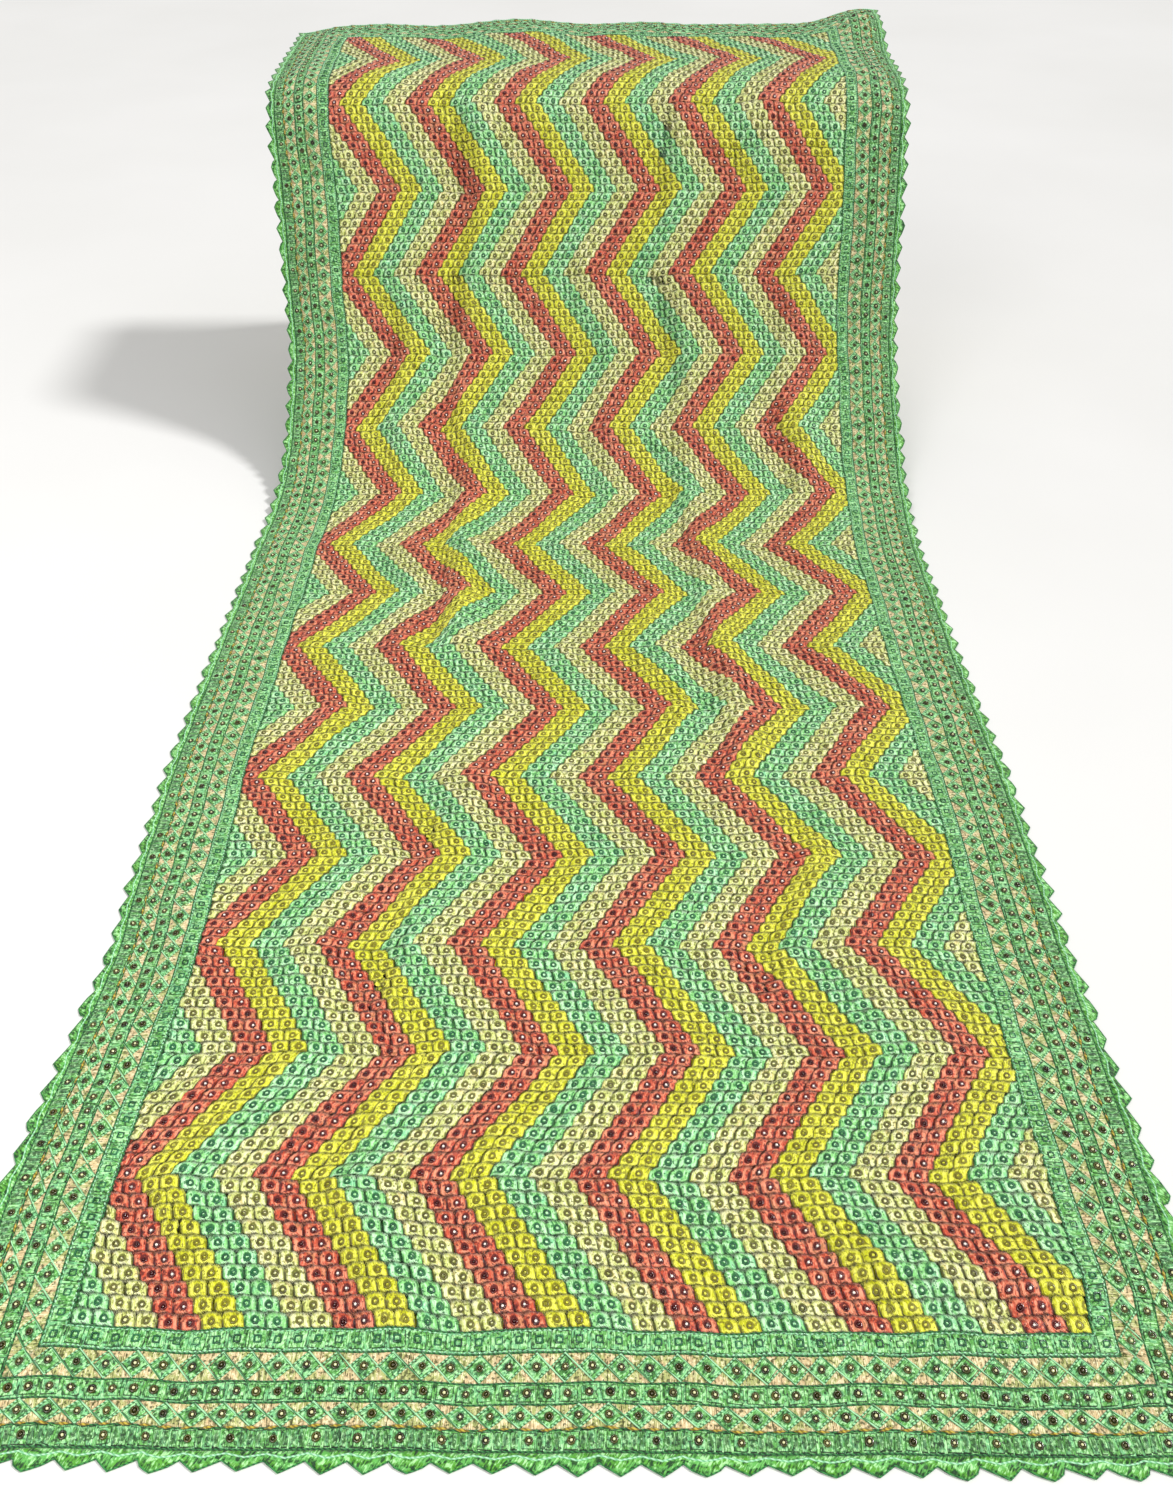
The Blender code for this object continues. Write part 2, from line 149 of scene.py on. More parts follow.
Fold = namedtuple("Fold", "across_1 along_1 across_2 along_2 half_width height")
FOLDS = [Fold(*row) for row in (
    # floor, near end
    (0.185, 0.235, 0.280, 0.120, 0.050, 0.0080),
    (0.132, 0.200, 0.205, 0.100, 0.026, -0.0050),
    (0.350, 0.250, 0.360, 0.120, 0.060, 0.0060),
    (0.030, 0.300, 0.060, 0.190, 0.045, 0.0050),
    (-0.070, 0.230, -0.005, 0.110, 0.045, 0.0060),
    (-0.190, 0.290, -0.140, 0.115, 0.036, 0.0075),
    (-0.215, 0.200, -0.172, 0.100, 0.022, -0.0050),
    (-0.325, 0.200, -0.250, 0.290, 0.034, 0.0070),
    (-0.365, 0.210, -0.295, 0.100, 0.026, -0.0050),
    (-0.400, 0.180, -0.385, 0.060, 0.040, 0.0060),
    # floor, middle and far
    (-0.385, 0.480, -0.375, 0.340, 0.036, 0.0065),
    (-0.240, 0.560, -0.270, 0.380, 0.045, 0.0060),
    (-0.200, 0.510, -0.197, 0.235, 0.024, -0.0055),
    (-0.130, 0.520, -0.110, 0.350, 0.050, 0.0060),
    (0.060, 0.560, 0.040, 0.390, 0.050, 0.0055),
    (0.215, 0.580, 0.130, 0.330, 0.026, -0.0050),
    (0.260, 0.520, 0.300, 0.360, 0.055, 0.0065),
    (-0.130, 0.780, -0.150, 0.600, 0.045, 0.0055),
    (-0.178, 0.700, -0.174, 0.570, 0.024, -0.0045),
    (-0.240, 1.100, -0.225, 0.900, 0.038, 0.0060),
    (-0.150, 1.120, -0.150, 0.920, 0.040, 0.0055),
    (0.090, 1.000, 0.110, 0.740, 0.042, 0.0050),
    (0.190, 0.980, 0.190, 0.720, 0.045, 0.0055),
    (0.330, 0.900, 0.300, 0.700, 0.055, 0.0045),
    # free sweep up to the bench
    (-0.207, 1.600, -0.207, 1.380, 0.022, -0.0060),
    (-0.270, 1.640, -0.275, 1.360, 0.050, 0.0080),
    (-0.150, 1.560, -0.140, 1.400, 0.040, 0.0050),
    (-0.204, 1.830, -0.182, 1.730, 0.020, -0.0060),
    (0.100, 1.600, 0.122, 1.300, 0.024, -0.0060),
    (0.110, 1.840, 0.096, 1.750, 0.022, -0.0050),
    (0.190, 1.600, 0.200, 1.400, 0.055, 0.0070),
    (0.020, 1.560, 0.040, 1.380, 0.050, 0.0045),
    (0.225, 1.785, 0.290, 1.835, 0.026, -0.0060),
    (-0.405, 1.700, -0.400, 1.420, 0.030, 0.0070),
    (0.415, 1.720, 0.410, 1.480, 0.030, 0.0060),
    # top of the bench
    (-0.110, 2.170, -0.090, 2.060, 0.085, 0.0100),
    (0.090, 2.170, 0.080, 2.100, 0.060, 0.0050),
    (0.455, 2.180, 0.440, 2.120, 0.062, 0.0300),
    (-0.330, 2.170, -0.320, 2.080, 0.060, 0.0040),
)]
print("broad folds:", len(FOLDS))

# %% Sharp creases
# Too sharp for the solids, they run down the cloth where it was held and dropped.
CREASES = [Fold(*row) for row in (
    (-0.180, 0.680, -0.174, 0.575, 0.017, -0.0034),
    (-0.196, 0.508, -0.204, 0.389, 0.017, -0.0036),
    (-0.200, 0.304, -0.196, 0.231, 0.017, -0.0034),
    (0.210, 0.577, 0.159, 0.413, 0.017, -0.0036),
    (0.159, 0.413, 0.130, 0.326, 0.017, -0.0034),
    (0.221, 1.783, 0.293, 1.838, 0.026, -0.0030),
    (-0.373, 0.470, -0.307, 0.589, 0.018, -0.0034),
    (-0.289, 1.140, -0.262, 1.044, 0.018, -0.0034),
    (0.200, 0.120, 0.309, 0.105, 0.018, -0.0036),
    (0.309, 0.105, 0.424, 0.097, 0.018, -0.0036),
    (0.230, 0.142, 0.420, 0.124, 0.020, 0.0067),
    (-0.365, 0.211, -0.295, 0.103, 0.018, -0.0036),
    (-0.297, 0.221, -0.241, 0.295, 0.017, -0.0034),
    (-0.215, 0.196, -0.174, 0.103, 0.017, -0.0036),
    (-0.102, 0.198, -0.073, 0.148, 0.017, -0.0030),
    (0.132, 0.206, 0.211, 0.099, 0.018, -0.0036),
    (0.071, 0.223, 0.083, 0.182, 0.015, -0.0030),
    (-0.395, 1.560, -0.400, 1.400, 0.018, -0.0051),
    (-0.412, 1.760, -0.418, 1.690, 0.018, -0.0046),
    (0.404, 1.690, 0.398, 1.520, 0.018, -0.0049),
    (0.430, 1.620, 0.425, 1.540, 0.017, -0.0040),
    (-0.090, 0.900, -0.070, 0.760, 0.020, -0.0030),
    (0.245, 1.180, 0.262, 1.040, 0.021, -0.0032),
    (0.040, 1.260, 0.030, 1.100, 0.021, -0.0030),
    # low ridges beside the sharper troughs, where the cloth was pushed up
    (0.240, 0.577, 0.189, 0.413, 0.018, 0.0060),
    (0.198, 1.795, 0.262, 1.850, 0.024, 0.0074),
    (0.248, 1.768, 0.312, 1.818, 0.025, 0.0062),
    (-0.167, 0.508, -0.175, 0.389, 0.018, 0.0060),
    (-0.338, 0.218, -0.268, 0.110, 0.019, 0.0044),
    (-0.190, 0.206, -0.150, 0.118, 0.019, 0.0042),
    (0.158, 0.214, 0.234, 0.112, 0.019, 0.0044),
    (-0.110, 0.700, -0.120, 0.600, 0.024, 0.0038),
    (0.300, 0.760, 0.280, 0.640, 0.024, 0.0038),
    (-0.300, 0.860, -0.290, 0.740, 0.024, 0.0037),
    (0.000, 1.640, 0.010, 1.520, 0.027, 0.0058),
    (-0.320, 1.300, -0.310, 1.180, 0.024, 0.0038),
    (0.320, 1.420, 0.310, 1.280, 0.027, 0.0055),
)]
print("creases:", len(CREASES))

# %% Long folds
# They bend on their way down the slope, so each one is a line of several points.
Line = namedtuple("Line", "points half_width height")
LONG_LEFT = ((-0.196, 1.838), (-0.182, 1.731), (-0.206, 1.600), (-0.228, 1.440), (-0.206, 1.330),
             (-0.214, 1.200), (-0.198, 1.060), (-0.194, 0.935))
LONG_RIGHT = ((0.100, 1.600), (0.116, 1.460), (0.104, 1.300), (0.128, 1.120), (0.134, 0.976),
              (0.147, 0.714))
HIGH_RIGHT = ((0.106, 1.838), (0.092, 1.700))
MIDDLE = ((0.006, 1.520), (-0.012, 1.360), (0.004, 1.240))
OUTER_LEFT = ((-0.300, 1.560), (-0.322, 1.400), (-0.306, 1.280))
OUTER_RIGHT = ((0.270, 1.580), (0.262, 1.420), (0.280, 1.290))
RIDGE_OFFSET = 0.034
FOLD_LINES = (
    Line(LONG_LEFT, 0.019, -0.0055), Line(LONG_RIGHT, 0.019, -0.0055),
    Line(HIGH_RIGHT, 0.018, -0.0050), Line(MIDDLE, 0.021, -0.0050),
    Line(OUTER_LEFT, 0.021, -0.0050), Line(OUTER_RIGHT, 0.021, -0.0050),
)
RIDGE_LINES = tuple(
    Line(tuple((across + RIDGE_OFFSET, along) for across, along in line.points), 0.022, height)
    for line, height in zip(FOLD_LINES, (0.0090, 0.0085, 0.0065, 0.0050, 0.0050, 0.0060))
)
print("lines:", len(FOLD_LINES + RIDGE_LINES))

# %% [markdown]
# ## Relief
# Stored shawls are folded in half again and again, which leaves a pressed line at every eighth of
# the length. Dense stitching also puckers the ground a little everywhere. Both are added here,
# and the sum is cut off where it would sink into the floor or the bench. Over the free sweep
# there is nothing under the cloth, so its troughs may dip.

# %% Heights of folds, pressed lines and pucker
REST_LEVEL = 0.0012
LOFT = 0.0026
LOFT_EDGE = 0.055
SWEEP_DIP = 0.009
OVERHANG_START = 0.385
OVERHANG_DROOP = 0.010
PRESSED_LINES = (0.30, 0.55, 0.81, 1.085, 1.35, 1.605)
PRESSED_DEPTHS = (0.0017, 0.0012, 0.0010, 0.0010, 0.0017, 0.0019)
PRESSED_WIDTH = 0.012
PUCKER = 0.0009
WOBBLE = 0.0009
WOBBLE_EDGE = 0.03
DIP_STARTS, DIP_FULL = SWEEP_START + 0.05, SWEEP_START + 0.15
DIP_EASES, DIP_ENDS = NOSE_START - 0.12, NOSE_START - 0.02


def fold_height(fold, across, along):
    """A crest of Gaussian section whose distance is taken to a straight segment."""
    start = np.array([fold.across_1, fold.along_1])
    run = np.array([fold.across_2, fold.along_2]) - start
    offset_x = across - start[0]
    offset_y = along - start[1]
    t = np.clip((offset_x * run[0] + offset_y * run[1]) / run.dot(run), 0.0, 1.0)
    distance_2 = (offset_x - t * run[0]) ** 2 + (offset_y - t * run[1]) ** 2
    return fold.height * np.exp(-distance_2 / fold.half_width ** 2)


def line_height(line, across, along):
    """The same crest along a line of several points, by the distance to its nearest part."""
    parts = [
        fold_height(Fold(*start, *end, line.half_width, 1.0), across, along)
        for start, end in zip(line.points[:-1], line.points[1:])
    ]
    return line.height * np.max(parts, axis=0)


def pressed_height(along):
    """A narrow Gaussian trough straight across the cloth at each pressed line."""
    total = np.zeros_like(along)
    for centre, depth in zip(PRESSED_LINES, PRESSED_DEPTHS):
        total = total - depth * np.exp(-((along - centre) / PRESSED_WIDTH) ** 2)
    return total


def pucker_height(across, along):
    """Three crossed sine waves of unlike length, for the ripple that dense stitching leaves."""
    return PUCKER * (
        np.sin(61.0 * across + 23.0 * along + 1.3)
        + 0.7 * np.sin(-37.0 * across + 71.0 * along)
        + 0.5 * np.sin(113.0 * across - 47.0 * along + 2.1)
    )


print("pressed lines:", len(PRESSED_LINES))


# %% Relief and droop
def relief(across, along):
    """Folds, loft, creases, pressed lines and pucker, held above whatever the cloth rests on."""
    broad = sum(fold_height(fold, across, along) for fold in FOLDS)
    sharp = sum(fold_height(fold, across, along) for fold in CREASES)
    sharp = sharp + sum(line_height(line, across, along) for line in FOLD_LINES + RIDGE_LINES)
    edge_side = CLOTH_HALF - np.abs(across)
    edge_end = np.minimum(along, CLOTH_LENGTH - along)
    loft = smooth_step(np.minimum(edge_side, edge_end), 0.0, LOFT_EDGE)
    fine = sharp + pressed_height(along) + pucker_height(across, along)
    total = np.maximum(broad - REST_LEVEL, 0.0) + loft * (LOFT + fine)
    sweep = smooth_step(along, DIP_STARTS, DIP_FULL)
    sweep = sweep * (1.0 - smooth_step(along, DIP_EASES, DIP_ENDS))
    return np.maximum(total, -SWEEP_DIP * sweep)


def droop(across, along):
    """The free sides sink a little where they hang past the ends of the bench."""
    past_end = smooth_step(np.abs(across), OVERHANG_START, CLOTH_HALF)
    on_bench = smooth_step(along, DIP_EASES, NOSE_END)
    return OVERHANG_DROOP * past_end * on_bench


print("relief at the middle, mm:", round(1000 * float(relief(0.0, CLOTH_LENGTH / 2)), 2))


# %% The drape function
def wobble(across, along):
    """Small sideways drift of the stitching from its counted grid, as two pairs of sine waves."""
    sideways = WOBBLE * (
        np.sin(29.0 * along + 9.0 * across) + 0.6 * np.sin(83.0 * along - 31.0 * across)
    )
    lengthways = WOBBLE * (
        np.sin(33.0 * across + 13.0 * along) + 0.6 * np.sin(97.0 * across + 5.0 * along)
    )
    inside = smooth_step(CLOTH_HALF - np.abs(across), 0.0, WOBBLE_EDGE)
    inside = inside * smooth_step(np.minimum(along, CLOTH_LENGTH - along), 0.0, WOBBLE_EDGE)
    return sideways * inside, lengthways * inside


def drape(across, along, lift):
    """Carry flat places to draped ones.

    Forward place and height come from the path. Relief and lift are added square to the path,
    and each long edge wanders by its own share.
    """
    across, along, lift = np.broadcast_arrays(across, along, lift)
    sideways, lengthways = wobble(across, along)
    across = across + sideways
    along = along + lengthways
    forward, height, angle = path_at(along)
    off_path = relief(across, along) + lift
    stations = [row.along for row in WANDERS]
    left = np.interp(along, stations, [row.left for row in WANDERS])
    right = np.interp(along, stations, [row.right for row in WANDERS])
    share = across / (2 * CLOTH_HALF) + 0.5
    x = across + left * (1.0 - share) + right * share
    y = forward - np.sin(angle) * off_path
    z = height + np.cos(angle) * off_path - droop(across, along)
    return np.stack([x - CENTRE_X, y - CENTRE_Y, z], axis=-1)


middle = drape(0.0, CLOTH_LENGTH / 2, 0.0)
print("the middle of the cloth lies at", np.round(middle, 3))

# %% [markdown]
# ## Camera
# The picture was taken standing at the near end and looking down at the cloth. Its steep pitch
# makes the near end wide and the bench end narrow. The camera comes first, so that every later
# piece can be judged in the view that matters most.

# %% Camera at the photograph's angle
CAMERA_PLACE = (0.0193, -1.2295, 0.907)
CAMERA_PITCH = np.radians(42.80)
CAMERA_YAW = np.radians(-0.909)
CAMERA_ROLL = np.radians(-0.526)
PHOTO_LONG_SIDE = 1500.0
FOCAL_PIXELS = 1175.0
SENSOR = 36.0


def camera_axes(pitch, yaw, roll):
    """Right, up and forward directions of a camera that looks down by pitch, then rolls."""
    forward = np.array([np.sin(yaw) * np.cos(pitch), np.cos(yaw) * np.cos(pitch), -np.sin(pitch)])
    right = np.array([np.cos(yaw), -np.sin(yaw), 0.0])
    up = np.cross(right, forward)
    rolled_right = right * np.cos(roll) + up * np.sin(roll)
    rolled_up = up * np.cos(roll) - right * np.sin(roll)
    return rolled_right, rolled_up, forward


def add_camera():
    """Place the camera; its lens is the focal length in pixels over the long side in pixels."""
    data = bpy.data.cameras.new("photo_camera")
    data.sensor_width = SENSOR
    data.lens = FOCAL_PIXELS / PHOTO_LONG_SIDE * SENSOR
    data.clip_start = 0.05
    data.clip_end = 60.0
    camera = bpy.data.objects.new("photo_camera", data)
    right, up, forward = camera_axes(CAMERA_PITCH, CAMERA_YAW, CAMERA_ROLL)
    turn = Matrix([Vector(right), Vector(up), Vector(-forward)]).transposed()
    camera.matrix_world = Matrix.Translation(CAMERA_PLACE) @ turn.to_4x4()
    bpy.context.scene.collection.objects.link(camera)
    bpy.context.scene.camera = camera
    return camera


print("lens, mm:", round(add_camera().data.lens, 2))

# %% [markdown]
# ## From arrays to meshes
# Blender is quick when a mesh arrives as whole arrays. This helper takes points, blocks of faces
# with the same number of corners, a material for each face, and one note for each point that a
# material can read, such as where in a stitch the point lies.

# %% Mesh helper
def add_piece(name, points, blocks, materials, slot, picks=None, note=None):
    """Make a mesh piece from arrays and let it ride on the object's one body."""
    points = np.ascontiguousarray(points, np.float32).reshape(-1, 3)
    corners = np.concatenate([block.ravel() for block in blocks]).astype(np.int32)
    sizes = np.concatenate([np.full(len(block), block.shape[1]) for block in blocks])
    starts = np.concatenate([[0], np.cumsum(sizes)[:-1]]).astype(np.int32)
    mesh = bpy.data.meshes.new(name)
    mesh.vertices.add(len(points))
    mesh.vertices.foreach_set("co", points.ravel())
    mesh.loops.add(len(corners))
    mesh.loops.foreach_set("vertex_index", corners)
    mesh.polygons.add(len(sizes))
    mesh.polygons.foreach_set("loop_start", starts)
    for material in materials:
        mesh.materials.append(material)
    if picks is not None:
        mesh.polygons.foreach_set("material_index", np.asarray(picks, np.int32))
    if note is not None:
        layer = mesh.attributes.new(note[0], "FLOAT_VECTOR", "POINT")
        layer.data.foreach_set("vector", np.ascontiguousarray(note[1], np.float32).ravel())
    mesh.update(calc_edges=True)
    mesh.shade_smooth()
    piece = bpy.data.objects.new(name, mesh)
    bpy.context.scene.collection.objects.link(piece)
    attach(piece, "root")
    print(name, "triangles:", int((sizes - 2).sum()))
    return piece


# %% Faces of grids and patches
def grid_faces(rows, columns, first=0):
    """Quads of a grid of points, in the order that makes them face up on the cloth."""
    index = np.arange(rows * columns).reshape(rows, columns) + first
    return np.stack(
        [index[:-1, :-1], index[:-1, 1:], index[1:, 1:], index[1:, :-1]], axis=-1
    ).reshape(-1, 4)


def grid_rim(rows, columns):
    """Point numbers round the rim of a grid, anticlockwise seen from above."""
    index = np.arange(rows * columns).reshape(rows, columns)
    return np.concatenate([index[0, :-1], index[:-1, -1], index[-1, :0:-1], index[:0:-1, 0]])


def closed_patch(rows, columns):
    """Upper faces of a grid patch and the strips that close it below, from near to far edge.

    Strips bend with the cloth. A single face below would cut through it in a trough.
    """
    index = np.arange(rows * columns).reshape(rows, columns)
    inner = np.arange(1, columns - 2)
    middle = np.stack(
        [index[-1, inner], index[-1, inner + 1], index[0, inner + 1], index[0, inner]], axis=-1
    )
    left = np.concatenate([index[:, 0], [index[-1, 1], index[0, 1]]])
    right = np.concatenate([index[::-1, -1], [index[0, -2], index[-1, -2]]])
    return [grid_faces(rows, columns), middle, np.stack([left, right])]


print("faces of a closed patch:", sum(len(block) for block in closed_patch(4, 5)))


# %% [markdown]
# ## Materials
# Satin stitch is bundles of shiny parallel threads. The light catches them along their crowns
# and is lost between them, so each stitch colour needs three tones and a fine streak along the
# thread. The streaks follow the note on each point, so they stay on the stitch in any view.

# %% Colour and node helpers
def paint(red, green, blue):
    """A colour as the eye names it, 0 to 255, as the linear light that a shader needs."""
    share = np.array([red, green, blue]) / 255.0
    linear = np.where(share <= 0.04045, share / 12.92, ((share + 0.055) / 1.055) ** 2.4)
    return (*linear.tolist(), 1.0)


def new_material(name, roughness, sheen=0.0, specular=0.5):
    """A material whose shader has its plain numbers set, ready for nodes to be wired to it."""
    material = bpy.data.materials.new(name)
    material.use_nodes = True
    shader = material.node_tree.nodes["Principled BSDF"]
    shader.inputs["Roughness"].default_value = roughness
    shader.inputs["Sheen Weight"].default_value = sheen
    shader.inputs["Specular IOR Level"].default_value = specular
    return material


def wire(material, kind, inputs, **settings):
    """Add a node, set its options, and give each input a socket to follow or a plain value."""
    tree = material.node_tree
    node = tree.nodes.new("ShaderNode" + kind)
    for key, value in settings.items():
        setattr(node, key, value)
    for key, value in inputs.items():
        if isinstance(value, bpy.types.NodeSocket):
            tree.links.new(value, node.inputs[key])
        else:
            node.inputs[key].default_value = value
    return node


def maths(material, operation, first, second=0.0):
    """One sum on two sockets or numbers."""
    return wire(material, "Math", {0: first, 1: second}, operation=operation).outputs[0]


def product(material, first, second):
    """Two sockets or numbers multiplied."""
    return maths(material, "MULTIPLY", first, second)


def highest(material, *values):
    """The highest of several sockets."""
    top = values[0]
    for value in values[1:]:
        top = maths(material, "MAXIMUM", top, value)
    return top


def weighted(material, *terms):
    """A sum of pairs: each value times its weight."""
    total = product(material, *terms[0])
    for term in terms[1:]:
        total = maths(material, "ADD", total, product(material, *term))
    return total


def fade(material, value, start, end, low=0.0, high=1.0):
    """A smooth change from low to high as the value goes from start to end."""
    inputs = {"Value": value, "From Min": start, "From Max": end, "To Min": low, "To Max": high}
    node = wire(material, "MapRange", inputs, interpolation_type="SMOOTHSTEP")
    return node.outputs["Result"]


def streaks(material, vector, scale, detail=1.0):
    """Noise stretched by a scale on each axis, 0 to 1."""
    mapped = wire(material, "Mapping", {"Vector": vector, "Scale": scale}).outputs["Vector"]
    return wire(material, "TexNoise", {"Vector": mapped, "Scale": 1.0, "Detail": detail}).outputs[0]


def object_place(material):
    """Object coordinates."""
    return wire(material, "TexCoord", {}).outputs["Object"]


def note_place(material, name):
    """The note that each point of the mesh carries under that name."""
    return wire(material, "Attribute", {}, attribute_name=name).outputs["Vector"]


def wave(material, place, scale, distortion, direction):
    """Straight bands square to a direction, 0 to 1."""
    inputs = {"Vector": place, "Scale": scale, "Distortion": distortion}
    return wire(material, "TexWave", inputs, bands_direction=direction).outputs["Fac"]


def ramp(material, value, stops):
    """Blend through colours placed at shares from 0 to 1."""
    node = wire(material, "ValToRGB", {"Fac": value})
    band = node.color_ramp
    while len(band.elements) < len(stops):
        band.elements.new(0.5)
    for element, (position, colour) in zip(band.elements, stops):
        element.position = position
        element.color = colour
    return node.outputs["Color"]


def blend_colours(material, factor, first, second):
    """Mix two colours by a factor."""
    node = wire(material, "Mix", {0: factor, 6: first, 7: second}, data_type="RGBA")
    return node.outputs[2]


def finish_material(material, colour, height=None, depth=0.0003, strength=0.5):
    """Wire the colour, and a bump of that real depth, into the shader."""
    tree = material.node_tree
    shader = tree.nodes["Principled BSDF"]
    tree.links.new(colour, shader.inputs["Base Color"])
    if height is not None:
        inputs = {"Height": height, "Distance": depth, "Strength": strength}
        bump = wire(material, "Bump", inputs)
        tree.links.new(bump.outputs["Normal"], shader.inputs["Normal"])
    return material


# %% The threads: four field colours and the border's greens and cream
# Each thread's light tone is a painted highlight and its dark tone is painted shade; the middle
# tone and the tint are its own colour.
Thread = namedtuple("Thread", "light middle dark tint")
THREAD_TONES = {
    "yellow": ((255, 252, 96), (216, 218, 6), (134, 128, 0), (240, 236, 56)),
    "mint": ((208, 255, 202), (142, 224, 126), (36, 110, 54), (136, 224, 168)),
    "cream": ((255, 254, 196), (220, 228, 126), (110, 112, 34), (240, 216, 142)),
    "red": ((254, 160, 122), (214, 84, 52), (100, 8, 6), (196, 138, 88)),
    "border_green": ((192, 250, 178), (100, 178, 80), (6, 56, 12), (126, 206, 136)),
    "border_cream": ((250, 240, 194), (184, 190, 112), (66, 68, 14), (224, 196, 144)),
    "edge_green": ((180, 240, 164), (98, 180, 80), (8, 62, 14), (86, 164, 42)),
}
THREADS = {
    name: Thread(*(paint(*tone) for tone in tones)) for name, tones in THREAD_TONES.items()
}
FIELD_ORDER = ("yellow", "mint", "cream", "red")
SEQUIN_ALONG = 0.40
SPECK_SCALE = (430.0, 430.0, 430.0)
THREAD_BUMP = (0.0008, 0.8)
MILLIMETRES = 1000.0
print("threads:", *THREADS)


# %% Satin stitch of the field
def add_specks(material, colour, thread):
    """Painted specks of shade and painted glints of a millimetre or two, where threads part or
    catch light.
    """
    place = object_place(material)
    noise = streaks(material, place, SPECK_SCALE)
    dark = fade(material, noise, 0.44, 0.34, 0.0, 0.85)
    glint = fade(material, noise, 0.58, 0.68, 0.0, 0.85)
    colour = blend_colours(material, dark, colour, thread.dark)
    return blend_colours(material, glint, colour, thread.light)


def thread_colour(material, thread, value, shift, dark_span, light_span):
    """Middle tone that drifts to the tint: the painted-shade tone where the value is low, the
    painted-highlight tone where it is high.
    """
    middle = blend_colours(material, shift, thread.middle, thread.tint)
    colour = blend_colours(material, fade(material, value, *dark_span), thread.dark, middle)
    return blend_colours(material, fade(material, value, *light_span), colour, thread.light)


def stitch_material(name, thread):
    """Satin stitch inside one cell, in two lobes with the sequin between them.

    The note "stitch" holds the place across the cell from -1 to 1, the place along it from 0 to
    1, and a tone that differs from cell to cell. Fine and broad streaks run along the thread.
    Painted shade darkens the slits at each side, the arcs below them and a ring round the sequin.
    Painted highlights lighten the far corners, both lobes and the threads just below the sequin,
    and the cloth inside the sequin's hole is lighter.
    """
    material = new_material(name, 0.42, 0.15, 0.5)
    place = note_place(material, "stitch")
    across, along, tone = wire(material, "SeparateXYZ", {"Vector": place}).outputs
    fine = fade(material, streaks(material, place, (10.0, 1.6, 41.0)), 0.34, 0.66)
    broad = fade(material, streaks(material, place, (3.4, 1.5, 17.0)), 0.38, 0.62)
    shift = fade(material, streaks(material, place, (1.2, 0.9, 29.0)), 0.50, 0.70, 0.0, 0.8)
    side = maths(material, "ABSOLUTE", across)
    reach = weighted(material, (along, 1.0), (tone, -0.20))
    # painted shade in the slits at each side and the arcs below them
    slit_shade = product(
        material, fade(material, side, 0.82, 0.92), fade(material, reach, 0.42, 0.58, 1.0, 0.0)
    )
    smile_shade = product(
        material,
        fade(material, side, 0.45, 0.80, 0.0, 0.7), fade(material, along, 0.02, 0.10, 1.0, 0.0),
    )
    off_x = product(material, across, CELL_WIDTH / 2 * MILLIMETRES)
    off_y = maths(material, "SUBTRACT", along, SEQUIN_ALONG)
    off_y = product(material, off_y, ROW_PITCH * MILLIMETRES)
    radius = maths(material, "SQRT", weighted(material, (off_x, off_x), (off_y, off_y)))
    # a ring of painted shade round the sequin
    halo_shade = product(
        material, fade(material, radius, 2.7, 3.7, 0.95, 0.0), fade(material, radius, 1.0, 1.5)
    )
    # painted highlights on the far corners, below the sequin and on both lobes; the sequin's hole
    # is lighter
    crown_highlight = product(
        material, fade(material, side, 0.35, 0.75), fade(material, along, 0.76, 0.88)
    )
    under_ring_highlight = product(
        material,
        fade(material, side, 0.18, 0.45, 1.0, 0.0), fade(material, along, 0.10, 0.24, 1.0, 0.0),
    )
    hole = fade(material, radius, 0.9, 1.3, 1.0, 0.0)
    lobe_highlight = product(
        material,
        fade(material, side, 0.28, 0.50, 0.0, 0.6), fade(material, side, 0.62, 0.80, 1.0, 0.0),
    )
    painted_light = highest(material, crown_highlight, under_ring_highlight, hole, lobe_highlight)
    value = weighted(material, (fine, 0.32), (broad, 0.36), (painted_light, 0.45), (tone, 0.20))
    colour = thread_colour(material, thread, value, shift, (0.0, 0.36), (0.46, 0.95))
    colour = add_specks(material, colour, thread)
    # all painted shade blends the colour towards the thread's dark tone
    shade = highest(material, slit_shade, smile_shade, halo_shade)
    colour = blend_colours(material, shade, colour, thread.dark)
    return finish_material(material, colour, fine, *THREAD_BUMP)


field_threads = {name: stitch_material("satin_" + name, THREADS[name]) for name in FIELD_ORDER}
print("satin looks:", len(field_threads))


# %% Plain weave, beads and sequins
def ground_material(name, colour, second):
    """Fine plain weave: two crossed waves on the flat cloth place, with slow cloudy tone."""
    material = new_material(name, 0.85, 0.1, 0.25)
    place = note_place(material, "flat")
    weave = product(material, *(wave(material, place, 210.0, 0.6, way) for way in "XY"))
    cloud = streaks(material, place, (30.0, 30.0, 30.0), 3.0)
    value = weighted(material, (weave, 0.5), (cloud, 0.5))
    colours = ramp(material, value, [(0.1, second), (0.75, colour)])
    return finish_material(material, colours, weave, 0.0004, 0.6)


def bead_material(name, colour, rim, roughness):
    """A glossy bead or sequin, cloudy from bead to bead by its place on the cloth."""
    material = new_material(name, roughness, 0.0, 0.8)
    place = object_place(material)
    cloud = streaks(material, place, (90.0, 90.0, 90.0))
    return finish_material(material, ramp(material, cloud, [(0.3, colour), (0.7, rim)]))


cloth_back = ground_material("cloth_back", paint(176, 206, 150), paint(120, 160, 104))
print("materials so far:", len(bpy.data.materials))

# %% [markdown]
# ## The field's ground
# Under the stitches lies plain woven cloth. Only slivers of it show between the stitches, deep
# in shadow and coloured by the threads beside them, so each grid face is painted with shade, in the
# dark and middle tones of the stitch above it. The grid has one row of faces for each row of
# stitches and two for each cell.
# The chevron is a counting rule: each row starts half a cell to the side of the last, ten rows
# one way and ten rows back, and the colour changes every two cells.

